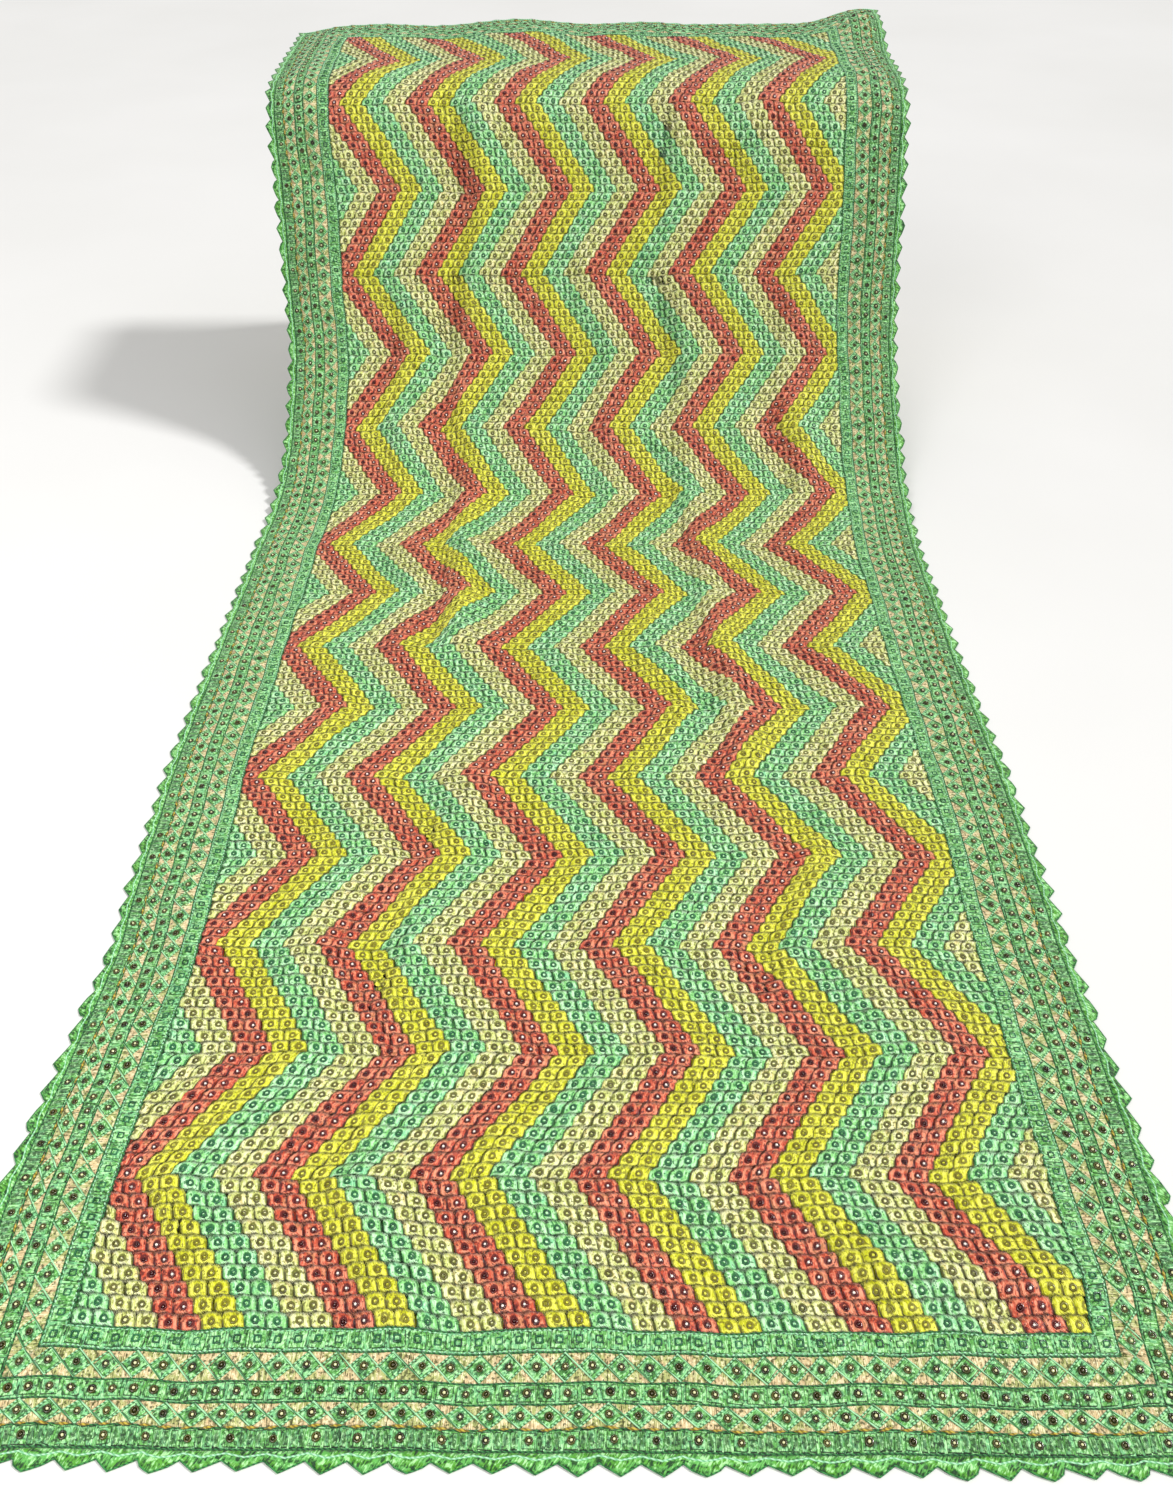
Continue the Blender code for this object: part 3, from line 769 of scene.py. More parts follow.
# %% The chevron rule
ROW_STEP = 0.5
ROWS_ONE_WAY = 10
CELLS_PER_COLOUR = 2
PHASE_START = 22.5
GROUND_LIFT = CLOTH_THICKNESS - 0.0007


def chevron_shift(row):
    """How many cells a row is shifted: a triangle wave over twenty rows, from 5 to 0 to 5."""
    return np.abs(row % (2 * ROWS_ONE_WAY) - ROWS_ONE_WAY) * ROW_STEP


def chevron_turn(row):
    """-1 where the chevron runs to the left and 1 where it runs to the right."""
    return np.where(row % (2 * ROWS_ONE_WAY) < ROWS_ONE_WAY, -1.0, 1.0)


def chevron_phase(cell, row):
    """Place of a stitch in the repeat of eight cells."""
    return (cell - chevron_shift(row) + PHASE_START) % (CELLS_PER_COLOUR * len(FIELD_ORDER))


def chevron_colour(cell, row):
    """Colour number of a stitch: its place in the repeat, counted in pairs of cells."""
    return (chevron_phase(cell, row) // CELLS_PER_COLOUR).astype(int)


def cell_under(place, row):
    """Centre of the cell at a place counted in cells: whole on even rows, halves on odd ones."""
    return np.where(row % 2 == 0, np.round(place), np.floor(place) + 0.5)


first_row = chevron_colour(np.arange(-4, 4), 0)
print("colours in the first row:", [FIELD_ORDER[number] for number in first_row])


# %% The ground as a closed wall
def cloth_wall(under, upper):
    """Face blocks of a closed cloth: upper grid, under grid turned over, and the rim between."""
    rows, columns = under.shape[:2]
    count = rows * columns
    upper_faces = grid_faces(rows, columns, count)
    under_faces = grid_faces(rows, columns)[:, ::-1]
    rim = grid_rim(rows, columns)
    after = np.roll(rim, -1)
    rim_faces = np.stack([rim, after, after + count, rim + count], axis=-1)
    points = np.concatenate([under.reshape(-1, 3), upper.reshape(-1, 3)])
    return points, upper_faces, under_faces, rim_faces


def sag(across, along):
    """How much lower the relief lies within half a mesh step: the ground must not poke through."""
    here = relief(across, along)
    lowest = here
    for step in (-ROW_PITCH / 2, ROW_PITCH / 2):
        lowest = np.minimum(lowest, relief(across, along + step))
    for step in (-CELL_WIDTH / 4, CELL_WIDTH / 4):
        lowest = np.minimum(lowest, relief(across + step, along))
    return here - lowest


def add_field_ground():
    """The field cloth as a closed wall, with painted shade in the chevron's tones on its upper
    faces.
    """
    columns = np.arange(2 * CELLS_ACROSS + 1) * CELL_WIDTH / 2 - FIELD_HALF
    lines = FIELD_START + np.arange(ROWS_ALONG + 1) * ROW_PITCH
    along, across = np.meshgrid(lines, columns, indexing="ij")
    low = sag(across, along)
    # the under side stops at the floor and the bench
    free = (along > SWEEP_START) & (along < NOSE_START)
    under_low = np.where(free, low, np.minimum(low, relief(across, along)))
    under_side = drape(across, along, -under_low)
    under_side[..., 2] = np.maximum(under_side[..., 2], 0.0)
    upper_side = drape(across, along, GROUND_LIFT - low)
    points, upper, under, rim = cloth_wall(under_side, upper_side)
    row, half = np.meshgrid(np.arange(ROWS_ALONG), np.arange(2 * CELLS_ACROSS), indexing="ij")
    cell = cell_under((half + 0.5) / 2 - CELLS_ACROSS / 2, row)
    colour = chevron_colour(cell, row).ravel()
    plain = np.full(len(under) + len(rim), len(FIELD_ORDER))
    flat = np.stack([across, along, np.zeros_like(across)], axis=-1).reshape(-1, 3)
    # the ground's upper faces carry painted shade: each thread's dark and middle tones
    materials = [
        ground_material("ground_" + name, THREADS[name].dark, THREADS[name].middle)
        for name in FIELD_ORDER
    ]
    return add_piece(
        "shawl_field", points, [upper, under, rim], materials + [cloth_back], "field_cloth",
        np.concatenate([colour, plain]), ("flat", np.concatenate([flat, flat])),
    )


field = add_field_ground()
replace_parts(field, "field_panel")

# %% [markdown]
# ## Satin stitch cells
# Each cell is one block of long stitches, padded so that it stands proud in two lobes with the
# sequin between them. Its near and far edges arch together over the sequin, so each row fits into
# the next. Slits part the lower half of each side from its neighbours, grooves darkened with
# painted shade, and under each of them lies a dark arc, partly a gap and partly painted shade. The
# cells lean with their chevron, which makes its edges run smoother, and their near edges are
# tucked under the row before. A cell is a closed cushion on a grid of four by five points, worked
# out from two parameters, and all cells of a colour are one mesh.

# %% Satin cells of the field
CELL_ACROSS = np.array([-1.0, -0.58, 0.0, 0.58, 1.0])
CELL_ALONG = np.array([0.0, 0.14, 0.66, 1.0])
CELL_LIFT = np.array([
    [0.10, 0.40, 0.45, 0.40, 0.10],
    [0.15, 1.05, 0.90, 1.05, 0.15],
    [0.35, 1.40, 0.95, 1.40, 0.35],
    [0.35, 0.45, 0.40, 0.45, 0.35],
]) * 0.001
CELL_BOW = 0.0009
CELL_LEAN = np.array([-0.19, -0.03, 0.03, 0.19])
CELL_DRIFT = 0.0004
CELL_TUCK = 0.05
CELL_SWELL = (0.82, 1.18)
SEED = 47


def field_cells():
    """Centre, row, and left and right limits of every cell, whole or half."""
    cells = []
    for row in range(ROWS_ALONG):
        odd = row % 2
        centres = np.arange(CELLS_ACROSS - odd) - (CELLS_ACROSS - odd - 1) / 2
        lows = np.full(len(centres), -1.0)
        highs = np.full(len(centres), 1.0)
        if odd:
            edge = CELLS_ACROSS / 2
            centres = np.concatenate([[-edge], centres, [edge]])
            lows = np.concatenate([[0.0], lows, [-1.0]])
            highs = np.concatenate([[1.0], highs, [0.0]])
        cells.append(np.stack([centres, np.full(len(centres), row), lows, highs], axis=1))
    return np.concatenate(cells)


def cell_places(cells, draw):
    """Flat places of all cells: a grid of two parameters, arched by a cosine over the sequin."""
    centre, row, low, high = (cells[:, k, None, None] for k in range(4))
    along, across = np.meshgrid(CELL_ALONG, CELL_ACROSS, indexing="ij")
    across = low + (across + 1) / 2 * (high - low)
    arch = CELL_BOW * np.cos(np.pi * across)
    base = FIELD_START + (row + along - CELL_TUCK * (along == 0.0)) * ROW_PITCH
    drift = draw.normal(0.0, CELL_DRIFT, (len(cells), 1, 1))
    inside = (along > 0.0) & (along < 1.0)
    place_along = base + arch + drift * inside
    lean = chevron_turn(row) * CELL_LEAN[:, None]
    place_across = (centre + across / 2 + lean) * CELL_WIDTH + drift[::-1] * inside
    swell = draw.uniform(*CELL_SWELL, (len(cells), 1, 1))
    lift = CLOTH_THICKNESS + CELL_LIFT * swell
    tone = np.broadcast_to(draw.random((len(cells), 1, 1)), across.shape)
    note = np.stack(np.broadcast_arrays(across, along, tone), axis=-1)
    return place_across, place_along, lift, note


def repeat_blocks(blocks, size, count):
    """The same faces for each of many small meshes that follow each other in one array."""
    steps = (np.arange(count) * size)[:, None, None]
    return [(block[None] + steps).reshape(-1, block.shape[1]) for block in blocks]


print("points of a cell:", CELL_LIFT.size)

# %% Stitch every cell
draw = np.random.default_rng(SEED)
cells = field_cells()
cell_colour = chevron_colour(cells[:, 0], cells[:, 1])
cell_across, cell_along, cell_lift, cell_note = cell_places(cells, draw)
CELL_ROWS, CELL_COLUMNS = len(CELL_ALONG), len(CELL_ACROSS)
cell_blocks = closed_patch(CELL_ROWS, CELL_COLUMNS)
for number, colour in enumerate(FIELD_ORDER):
    chosen = cell_colour == number
    points = drape(cell_across[chosen], cell_along[chosen], cell_lift[chosen])
    blocks = repeat_blocks(cell_blocks, CELL_ROWS * CELL_COLUMNS, int(chosen.sum()))
    add_piece(
        "stitches_" + colour, points, blocks, [field_threads[colour]], "field_cloth",
        note=("stitch", cell_note[chosen].reshape(-1, 3)),
    )
print("cells:", len(cells))

# %% [markdown]
# ## Sequins and beads
# A tiny ring sequin is sewn into the middle of each yellow, mint and cream cell, and the coral
# cells carry a dark glass bead that flashes; the flash is a painted highlight on a light core in
# its ring. There are thousands, so a ring has six sides of three faces and a bead is a dome of two
# rounds. Each is laid flat on the cloth and then draped.

# %% Small round shapes
def round_profile(radii, lifts, sides, squareness=0.0):
    """Turn a closed profile about an axis: radius times cosine and sine, and a lift.

    A squareness above 0 pushes the outline out at its four corners.
    """
    turn = np.arange(sides) * 2 * np.pi / sides
    push = 1.0 + squareness * np.cos(4 * turn + np.pi)
    across = np.outer(radii, np.cos(turn) * push)
    along = np.outer(radii, np.sin(turn) * push)
    lift = np.broadcast_to(np.array(lifts)[:, None], across.shape)
    return np.stack([across, along, lift], axis=-1).reshape(-1, 3)


def ring_faces(rounds, sides, closed):
    """Quads between neighbouring rounds, and between the last and the first if closed."""
    index = np.arange(rounds * sides).reshape(rounds, sides)
    first = index if closed else index[:-1]
    second = np.roll(index, -1, axis=0) if closed else index[1:]
    return np.stack(
        [first, np.roll(first, -1, axis=1), np.roll(second, -1, axis=1), second], axis=-1
    ).reshape(-1, 4)


def dome(radius, height, sides, shoulders):
    """A dome of rounds at the given shares, closed by one face at its top and one below."""
    quarter = np.array(shoulders) * np.pi / 2
    points = round_profile(radius * np.cos(quarter), height * np.sin(quarter), sides)
    rounds = len(quarter)
    top = np.arange((rounds - 1) * sides, rounds * sides)[None]
    bottom = np.arange(sides)[None, ::-1]
    return points, [ring_faces(rounds, sides, False), top, bottom]


def laid_out(shape, turn, size):
    """Each copy of a small shape about its own middle, once turned and scaled."""
    turn, size = np.reshape(turn, (-1, 1)), np.reshape(size, (-1, 1))
    x, y, z = shape.T[:, None, :] * size
    return x * np.cos(turn) - y * np.sin(turn), x * np.sin(turn) + y * np.cos(turn), z


def scatter(shape, blocks, across, along, lift, turn, size):
    """Lay copies of a small shape on the flat cloth, each turned and scaled, and drape them."""
    x, y, z = laid_out(shape, turn, size)
    points = drape(across[:, None] + x, along[:, None] + y, lift + z)
    return points.reshape(-1, 3), repeat_blocks(blocks, len(shape), len(across))


print("points of a small dome:", len(dome(1.0, 1.0, 5, (0.0, 0.5))[0]))

# %% Sequins of three colours
RING_RADII = (0.0031, 0.0023, 0.0013)
RING_LIFTS = (0.0, 0.0009, 0.0)
RING_SIDES = 6
SEQUIN_LIFT = CLOTH_THICKNESS + 0.0009
SEQUIN_DRIFT = 0.0003
SEQUIN_SIZES = (0.85, 1.12)
SEQUIN_TONES = {
    "yellow": (paint(96, 88, 0), paint(138, 130, 4)),
    "mint": (paint(6, 72, 38), paint(30, 108, 66)),
    "cream": (paint(76, 72, 20), paint(112, 106, 46)),
}

ring = round_profile(RING_RADII, RING_LIFTS, RING_SIDES)
ring_blocks = [ring_faces(3, RING_SIDES, True)]
whole = (cells[:, 2] == -1.0) & (cells[:, 3] == 1.0)
sequin_across = cells[:, 0] * CELL_WIDTH + draw.normal(0.0, SEQUIN_DRIFT, len(cells))
sequin_along = FIELD_START + (cells[:, 1] + SEQUIN_ALONG) * ROW_PITCH
sequin_along = sequin_along + draw.normal(0.0, SEQUIN_DRIFT, len(cells))
sequin_turn = draw.uniform(0.0, 2 * np.pi, len(cells))
sequin_size = draw.uniform(*SEQUIN_SIZES, len(cells))
for number, colour in enumerate(FIELD_ORDER[:3]):
    chosen = whole & (cell_colour == number)
    points, blocks = scatter(
        ring, ring_blocks, sequin_across[chosen], sequin_along[chosen],
        SEQUIN_LIFT, sequin_turn[chosen], sequin_size[chosen],
    )
    look = bead_material("sequin_" + colour, *SEQUIN_TONES[colour], 0.32)
    add_piece("sequins_" + colour, points, blocks, [look], "field_cloth")

# %% Ringed beads of the coral cells
BEAD_RING = round_profile((0.0030, 0.0023, 0.0012), (0.0, 0.0012, 0.0004), RING_SIDES)
BEAD_CORE = dome(0.00135, 0.0013, 5, (0.0, 0.55))
CORE_LIFT = 0.0005
DARK_SHARE = 0.3
TONE_BLUR = 0.02
# FLASH_RIGHT and FLASH_LEFT push the right bead of each coral pair towards its painted flash and
# the left one towards dull
FLASH_RIGHT, FLASH_LEFT = 0.25, -0.45


def core_material(name, painted_light, dull):
    """The bead in a ring's hole, with its flash painted in: most take the light painted-highlight
    colour, and some are dull, by the note "tone".
    """
    material = new_material(name, 0.12, 0.0, 0.8)
    place = note_place(material, "tone")
    tone, _, _ = wire(material, "SeparateXYZ", {"Vector": place}).outputs
    stops = [(DARK_SHARE - TONE_BLUR, dull), (DARK_SHARE + TONE_BLUR, painted_light)]
    colour = ramp(material, tone, stops)
    return finish_material(material, colour)


def tone_note(count, size, brighter=0.0):
    """The same random tone for all points of each bead, with a share added or taken away."""
    tone = np.repeat(draw.random(count) + brighter, size)
    return "tone", np.column_stack([tone, tone, tone])


red_glass = bead_material("glass_maroon", paint(62, 6, 8), paint(112, 20, 18), 0.16)
# the coral core's light colour is a painted highlight; its dull colour is dark glass
red_core = core_material("core_coral", paint(255, 238, 226), paint(70, 10, 10))
chosen = whole & (cell_colour == FIELD_ORDER.index("red"))
count = int(chosen.sum())
last_place = CELLS_PER_COLOUR * len(FIELD_ORDER) - 1
right_hand = chevron_phase(cells[chosen, 0], cells[chosen, 1]) >= last_place
spot = (sequin_across[chosen], sequin_along[chosen])
spread = (sequin_turn[chosen], sequin_size[chosen])
points, blocks = scatter(BEAD_RING, ring_blocks, *spot, SEQUIN_LIFT, *spread)
add_piece("beads_red", points, blocks, [red_glass], "field_cloth")
points, blocks = scatter(*BEAD_CORE, *spot, SEQUIN_LIFT + CORE_LIFT, *spread)
add_piece(
    "bead_cores_red", points, blocks, [red_core], "field_cloth",
    note=tone_note(count, len(BEAD_CORE[0]), np.where(right_hand, FLASH_RIGHT, FLASH_LEFT)),
)

# %% [markdown]
# ## The border
# Five embroidered bands run round all four sides and meet in mitres: a mint band of squares, a
# band of diamonds, a narrow band of beaded squares, a second band of diamonds and a band of bars.
# Each side is a strip of cloth in its own coordinates: t along the strip from its middle, and out
# from the field's edge. The strip is a thin wall whose upper side pillows between the seams.

# %% Places on the four sides
SIDES = ("left", "right", "near", "far")
LONG_SIDES = ("left", "right")
BAND_EDGES = (0.0, 0.0165, 0.0365, 0.0500, 0.0660, 0.0800)
BAND_PILLOW = 0.0008
STATION_STEP = 0.012
MITRE_SETBACK = 0.00022
DIAMOND_PITCH = 0.0205
SQUARE_PITCH = 0.0146
BAR_PITCH = 0.0293


def side_half(side):
    """Half the length of the field's edge on that side."""
    return (FIELD_END - FIELD_START) / 2 if side in LONG_SIDES else FIELD_HALF


def on_side(side, t, out):
    """Flat cloth place of a point on a strip. Each side is a quarter turn, so faces stay up."""
    t, out = np.broadcast_arrays(t, out)
    if side == "near":
        return -t, FIELD_START - out
    if side == "far":
        return t, FIELD_END + out
    if side == "right":
        return FIELD_HALF + out, FIELD_MIDDLE - t
    return -FIELD_HALF - out, FIELD_MIDDLE + t


def strip_grid(side, share, out):
    """A strip's places: share runs from -1 to 1 between its mitres, longer further out."""
    t = share * (side_half(side) + out - MITRE_SETBACK)
    across, along = on_side(side, t, out)
    return t, across, along


def spaced(side, out, pitch, margin=0.0):
    """Evenly spaced places on a strip between its mitres, at about that pitch."""
    reach = side_half(side) + out - margin
    count = max(1, int(round(2 * reach / pitch)))
    return (np.arange(count) + 0.5) * 2 * reach / count - reach


print("half sides, metres:", [round(side_half(side), 3) for side in SIDES])


# %% Banded strips of the border
def band_columns():
    """Distances out and pillow heights of a border strip's mesh lines."""
    outs, lifts, bands = [], [], []
    for number, (inner, outer) in enumerate(zip(BAND_EDGES[:-1], BAND_EDGES[1:])):
        for share, rise in ((0.0, 0.0), (0.12, 0.8), (0.5, 1.0), (0.88, 0.8)):
            outs.append(inner + share * (outer - inner))
            lifts.append(CLOTH_THICKNESS + rise * BAND_PILLOW)
            bands.append(number)
    outs.append(BAND_EDGES[-1])
    lifts.append(CLOTH_THICKNESS)
    outs[0] = SEAM_GAP
    return np.array(outs), np.array(lifts), np.array(bands)


def band_material(name, thread):
    """Flat satin of a band: threads lie across the strip, so the streaks run out from the field."""
    material = new_material(name, 0.5, 0.15, 0.4)
    place = note_place(material, "strip")
    fine = fade(material, streaks(material, place, (1300.0, 60.0, 1.0)), 0.30, 0.70)
    broad = fade(material, streaks(material, place, (360.0, 120.0, 1.0), 2.0), 0.34, 0.66)
    shift = fade(material, streaks(material, place, (90.0, 70.0, 1.0), 2.0), 0.44, 0.58)
    value = weighted(material, (fine, 0.50), (broad, 0.50))
    colour = thread_colour(material, thread, value, shift, (0.0, 0.45), (0.55, 1.0))
    return finish_material(material, add_specks(material, colour, thread), fine, *THREAD_BUMP)


band_looks = [
    band_material("band_green", THREADS["border_green"]),
    band_material("band_cream", THREADS["border_cream"]),
]


def add_border(side):
    """One mitred border strip as a closed wall with five pillowed bands."""
    outs, lifts, bands = band_columns()
    stations = int(np.ceil(2 * side_half(side) / STATION_STEP)) + 1
    share, out = np.meshgrid(np.linspace(-1, 1, stations), outs, indexing="ij")
    t, across, along = strip_grid(side, share, out)
    # rows run along t and columns out, so the grid is turned to keep its faces up
    upper_points = drape(across, along, lifts[None, :]).transpose(1, 0, 2)
    under_points = drape(across, along, 0.0).transpose(1, 0, 2)
    points, upper, under, rim = cloth_wall(under_points, upper_points)
    # green and cream bands take turns
    pick = np.repeat(bands % 2, stations - 1)
    plain = np.full(len(under) + len(rim), len(band_looks))
    note = np.stack([t, out, np.zeros_like(t)], axis=-1).transpose(1, 0, 2).reshape(-1, 3)
    piece = add_piece(
        "shawl_border_" + side, points, [upper, under, rim], band_looks + [cloth_back],
        "border_cloth", np.concatenate([pick, plain]), ("strip", np.concatenate([note, note])),
    )
    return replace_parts(piece, "border_" + side)


borders = {side: add_border(side) for side in SIDES}

# %% [markdown]
# ## Pads, diamonds and bars
# On the bands the embroiderer worked small padded shapes: squares, diamonds and bars. They are
# one idea, a raised patch on a grid of two parameters whose rim dips into the cloth, so one
# shape serves them all, stretched or turned on its corner.

# %% Padded shapes of the bands
PAD_STOPS = np.array([-1.0, -0.78, 0.78, 1.0])
PAD_LIFTS = np.array([
    [-0.25, -0.20, -0.20, -0.25],
    [-0.20, 0.75, 0.75, -0.20],
    [-0.20, 0.75, 0.75, -0.20],
    [-0.25, -0.20, -0.20, -0.25],
]) * 0.001
BAND_TOP = CLOTH_THICKNESS + 0.0007
PAD_TILT = 0.05
PAD_SIZES = (0.90, 1.03)


def pad_material(name, thread, shadow):
    """Satin pad, with painted shade round its bead and along its rim.

    The note "stitch" runs from -1 to 1 both ways; threads lie along the second.
    """
    material = new_material(name, 0.46, 0.15, 0.45)
    place = note_place(material, "stitch")
    first, second, tone = wire(material, "SeparateXYZ", {"Vector": place}).outputs
    fine = fade(material, streaks(material, place, (7.0, 1.2, 41.0)), 0.34, 0.66)
    broad = fade(material, streaks(material, place, (2.6, 1.6, 17.0)), 0.38, 0.62)
    shift = fade(material, streaks(material, place, (1.1, 1.1, 29.0)), 0.46, 0.62)
    rim = highest(
        material, maths(material, "ABSOLUTE", first), maths(material, "ABSOLUTE", second)
    )
    value = weighted(material, (fine, 0.40), (broad, 0.40), (tone, 0.25))
    colour = thread_colour(material, thread, value, shift, (0.0, 0.42), (0.50, 1.0))
    # painted shade round the bead, as strong as the shadow share
    round_bead = weighted(material, (first, first), (second, second))
    shade = fade(material, round_bead, 0.22, 0.60, shadow, 0.0)
    colour = blend_colours(material, shade, colour, thread.dark)
    colour = add_specks(material, colour, thread)
    # painted shade along the rim, where the pad dips into the cloth
    colour = blend_colours(material, fade(material, rim, 0.84, 0.96), colour, thread.dark)
    return finish_material(material, colour, fine, *THREAD_BUMP)


def pad_shape(half_t, half_out, on_corner=False):
    """Flat places, lifts and notes of one pad: a square grid, or the same turned by 45 degrees."""
    second, first = np.meshgrid(PAD_STOPS, PAD_STOPS, indexing="ij")
    x, y = ((first + second) / 2, (second - first) / 2) if on_corner else (first, second)
    shape = np.stack([x * half_t, y * half_out, PAD_LIFTS], axis=-1).reshape(-1, 3)
    note = np.stack([first, second], axis=-1).reshape(-1, 2)
    return shape, note


PAD_BLOCKS = closed_patch(len(PAD_STOPS), len(PAD_STOPS))


def count_of(stations):
    """How many places the stations hold in all."""
    return sum(len(t) for _, t, _ in stations)


def scatter_on_sides(shape, blocks, stations, lift, size=1.0, tilt=0.0):
    """Lay copies of a shape on the strips. Stations are (side, t, out) with arrays for t."""
    count = count_of(stations)
    x, y, z = laid_out(shape, np.broadcast_to(tilt, count), np.broadcast_to(size, count))
    points, first = [], 0
    for side, t, out in stations:
        part = slice(first, first + len(t))
        across, along = on_side(side, t[:, None] + x[part], out + y[part])
        points.append(drape(across, along, lift + z[part]).reshape(-1, 3))
        first += len(t)
    return np.concatenate(points), repeat_blocks(blocks, len(shape), count)


def band_middle(number):
    """Distance out of the middle of a band."""
    return (BAND_EDGES[number] + BAND_EDGES[number + 1]) / 2


def band_half(number):
    """Half the width of a band, which is also half the size of its corner cell."""
    return (BAND_EDGES[number + 1] - BAND_EDGES[number]) / 2


def stations_of(number, pitch, shift=0.0, corner=True):
    """Places at that pitch along the middle of a band on all four sides.

    Each strip stops where the corner cell starts. Every side adds the corner at its later end.
    """
    out = band_middle(number)
    stations = []
    for side in SIDES:
        t = spaced(side, out, pitch, band_half(number)) + shift
        end = [side_half(side) + out] if corner else []
        stations.append((side, np.concatenate([t, end]), out))
    return stations


print("faces of a pad:", sum(len(block) for block in PAD_BLOCKS))

# %% Pads along the bands
PadRow = namedtuple("PadRow", "name band pitch half_t half_out on_corner shift corner")
SQUARE_SHIFT = -0.0092
PAD_ROWS = (
    PadRow("squares_inner", 0, SQUARE_PITCH, 0.0067, 0.0068, False, 0.0, True),
    PadRow("diamonds_inner", 1, DIAMOND_PITCH, 0.0100, 0.0098, True, 0.0, True),
    PadRow("squares_middle", 2, SQUARE_PITCH, 0.0067, 0.0056, False, 0.0, True),
    PadRow("diamonds_outer", 3, DIAMOND_PITCH, 0.0100, 0.0079, True, 0.0, True),
    PadRow("squares_outer", 4, BAR_PITCH, 0.0054, 0.0058, False, SQUARE_SHIFT, False),
    PadRow("bars_1", 4, BAR_PITCH, 0.0026, 0.0062, False, 0.0004, False),
    PadRow("bars_2", 4, BAR_PITCH, 0.0026, 0.0062, False, 0.0061, False),
    PadRow("bars_3", 4, BAR_PITCH, 0.0026, 0.0062, False, 0.0118, False),
)


def add_pads(row, look):
    """One kind of pad along one band, on all four sides, as one mesh."""
    shape, flat_note = pad_shape(row.half_t, row.half_out, row.on_corner)
    stations = stations_of(row.band, row.pitch, row.shift, row.corner)
    count = count_of(stations)
    points, blocks = scatter_on_sides(
        shape, PAD_BLOCKS, stations, BAND_TOP,
        draw.uniform(*PAD_SIZES, count), draw.normal(0.0, PAD_TILT, count),
    )
    tone = np.repeat(draw.random(count), len(shape))
    note = np.column_stack([np.tile(flat_note, (count, 1)), tone])
    return add_piece(row.name, points, blocks, [look], "border_cloth", note=("stitch", note))


pad_green = pad_material("pad_green", THREADS["border_green"], 0.60)
pad_open = pad_material("pad_open", THREADS["border_green"], 0.10)
border_pieces = [add_pads(row, pad_open if row.band == 0 else pad_green) for row in PAD_ROWS]


def sew(name, mesh, look, note=None):
    """Add one piece of the border's stitching from its points and face blocks."""
    border_pieces.append(add_piece(name, *mesh, [look], "border_cloth", note=note))


# %% [markdown]
# ## Beads and square sequins of the border
# Every square and diamond holds one ringed bead of dark bronze glass, but for the innermost
# band, whose squares hold open sequins with squared corners. The field's shapes serve again.

# %% Beads and sequins of the border
BEAD_LIFT = BAND_TOP + 0.0006
BEAD_DRIFT = 0.0003
BEAD_SIZES = (0.85, 1.10)
LARGE_RING_SIDES = 8
large_ring_blocks = [ring_faces(3, LARGE_RING_SIDES, True)]
bronze_ring = round_profile((0.0033, 0.0025, 0.0013), (0.0, 0.0013, 0.0004), LARGE_RING_SIDES)
square_ring = round_profile((0.0036, 0.0028, 0.0018), (0.0, 0.0009, 0.0), LARGE_RING_SIDES, 0.12)
bronze_glass = bead_material("glass_bronze", paint(30, 30, 6), paint(88, 84, 20), 0.18)
# the bronze core's light colour is a painted highlight
bronze_core = core_material("core_bronze", paint(226, 224, 168), paint(64, 58, 12))
square_glass = bead_material("sequin_square", paint(8, 66, 36), paint(36, 112, 70), 0.25)
bead_stations = (
    stations_of(1, DIAMOND_PITCH) + stations_of(2, SQUARE_PITCH) + stations_of(3, DIAMOND_PITCH)
    + stations_of(4, BAR_PITCH, SQUARE_SHIFT, False)
)
bead_stations = [
    (side, t + draw.normal(0.0, BEAD_DRIFT, len(t)), out + draw.normal(0.0, BEAD_DRIFT))
    for side, t, out in bead_stations
]
bead_count = count_of(bead_stations)
bead_size = draw.uniform(*BEAD_SIZES, bead_count)
mesh = scatter_on_sides(bronze_ring, large_ring_blocks, bead_stations, BEAD_LIFT, bead_size)
sew("beads_bronze", mesh, bronze_glass)
mesh = scatter_on_sides(*BEAD_CORE, bead_stations, BEAD_LIFT + CORE_LIFT, bead_size)
sew("bead_cores_bronze", mesh, bronze_core, tone_note(bead_count, len(BEAD_CORE[0])))
square_stations = stations_of(0, SQUARE_PITCH)
mesh = scatter_on_sides(square_ring, large_ring_blocks, square_stations, BEAD_LIFT)
sew("sequins_square", mesh, square_glass)
print("border beads:", bead_count)

# %% [markdown]
# ## Seam cords, lattice and chain stitch
# Thin dark cords are couched over the seams between bands. In the two diamond bands, two cords
# cross from side to side and outline the diamonds. A line of light chain stitch runs on each
# side of the innermost band. A cord is a small ring of points carried along a path on the strip.

# %% Cords along the strips
CORD_SIDES = 4


def cord_mesh(side, t, out, lift, radius):
    """A tube on a strip: at each point of the path, a ring in the plane of its normal and up."""
    t, out = np.broadcast_arrays(t, out)
    run_t, run_out = np.gradient(t), np.gradient(out)
    length = np.hypot(run_t, run_out)
    normal_t, normal_out = -run_out / length, run_t / length
    turn = np.arange(CORD_SIDES) * 2 * np.pi / CORD_SIDES
    place_t = t[:, None] + radius * np.outer(normal_t, np.cos(turn))
    place_out = out[:, None] + radius * np.outer(normal_out, np.cos(turn))
    across, along = on_side(side, place_t, place_out)
    points = drape(across, along, lift + radius * np.sin(turn)[None, :])
    rings = len(t)
    tube = ring_faces(rings, CORD_SIDES, False)
    start = np.arange(CORD_SIDES)[None, ::-1]
    end = np.arange((rings - 1) * CORD_SIDES, rings * CORD_SIDES)[None]
    return points.reshape(-1, 3), [tube, np.concatenate([start, end])]


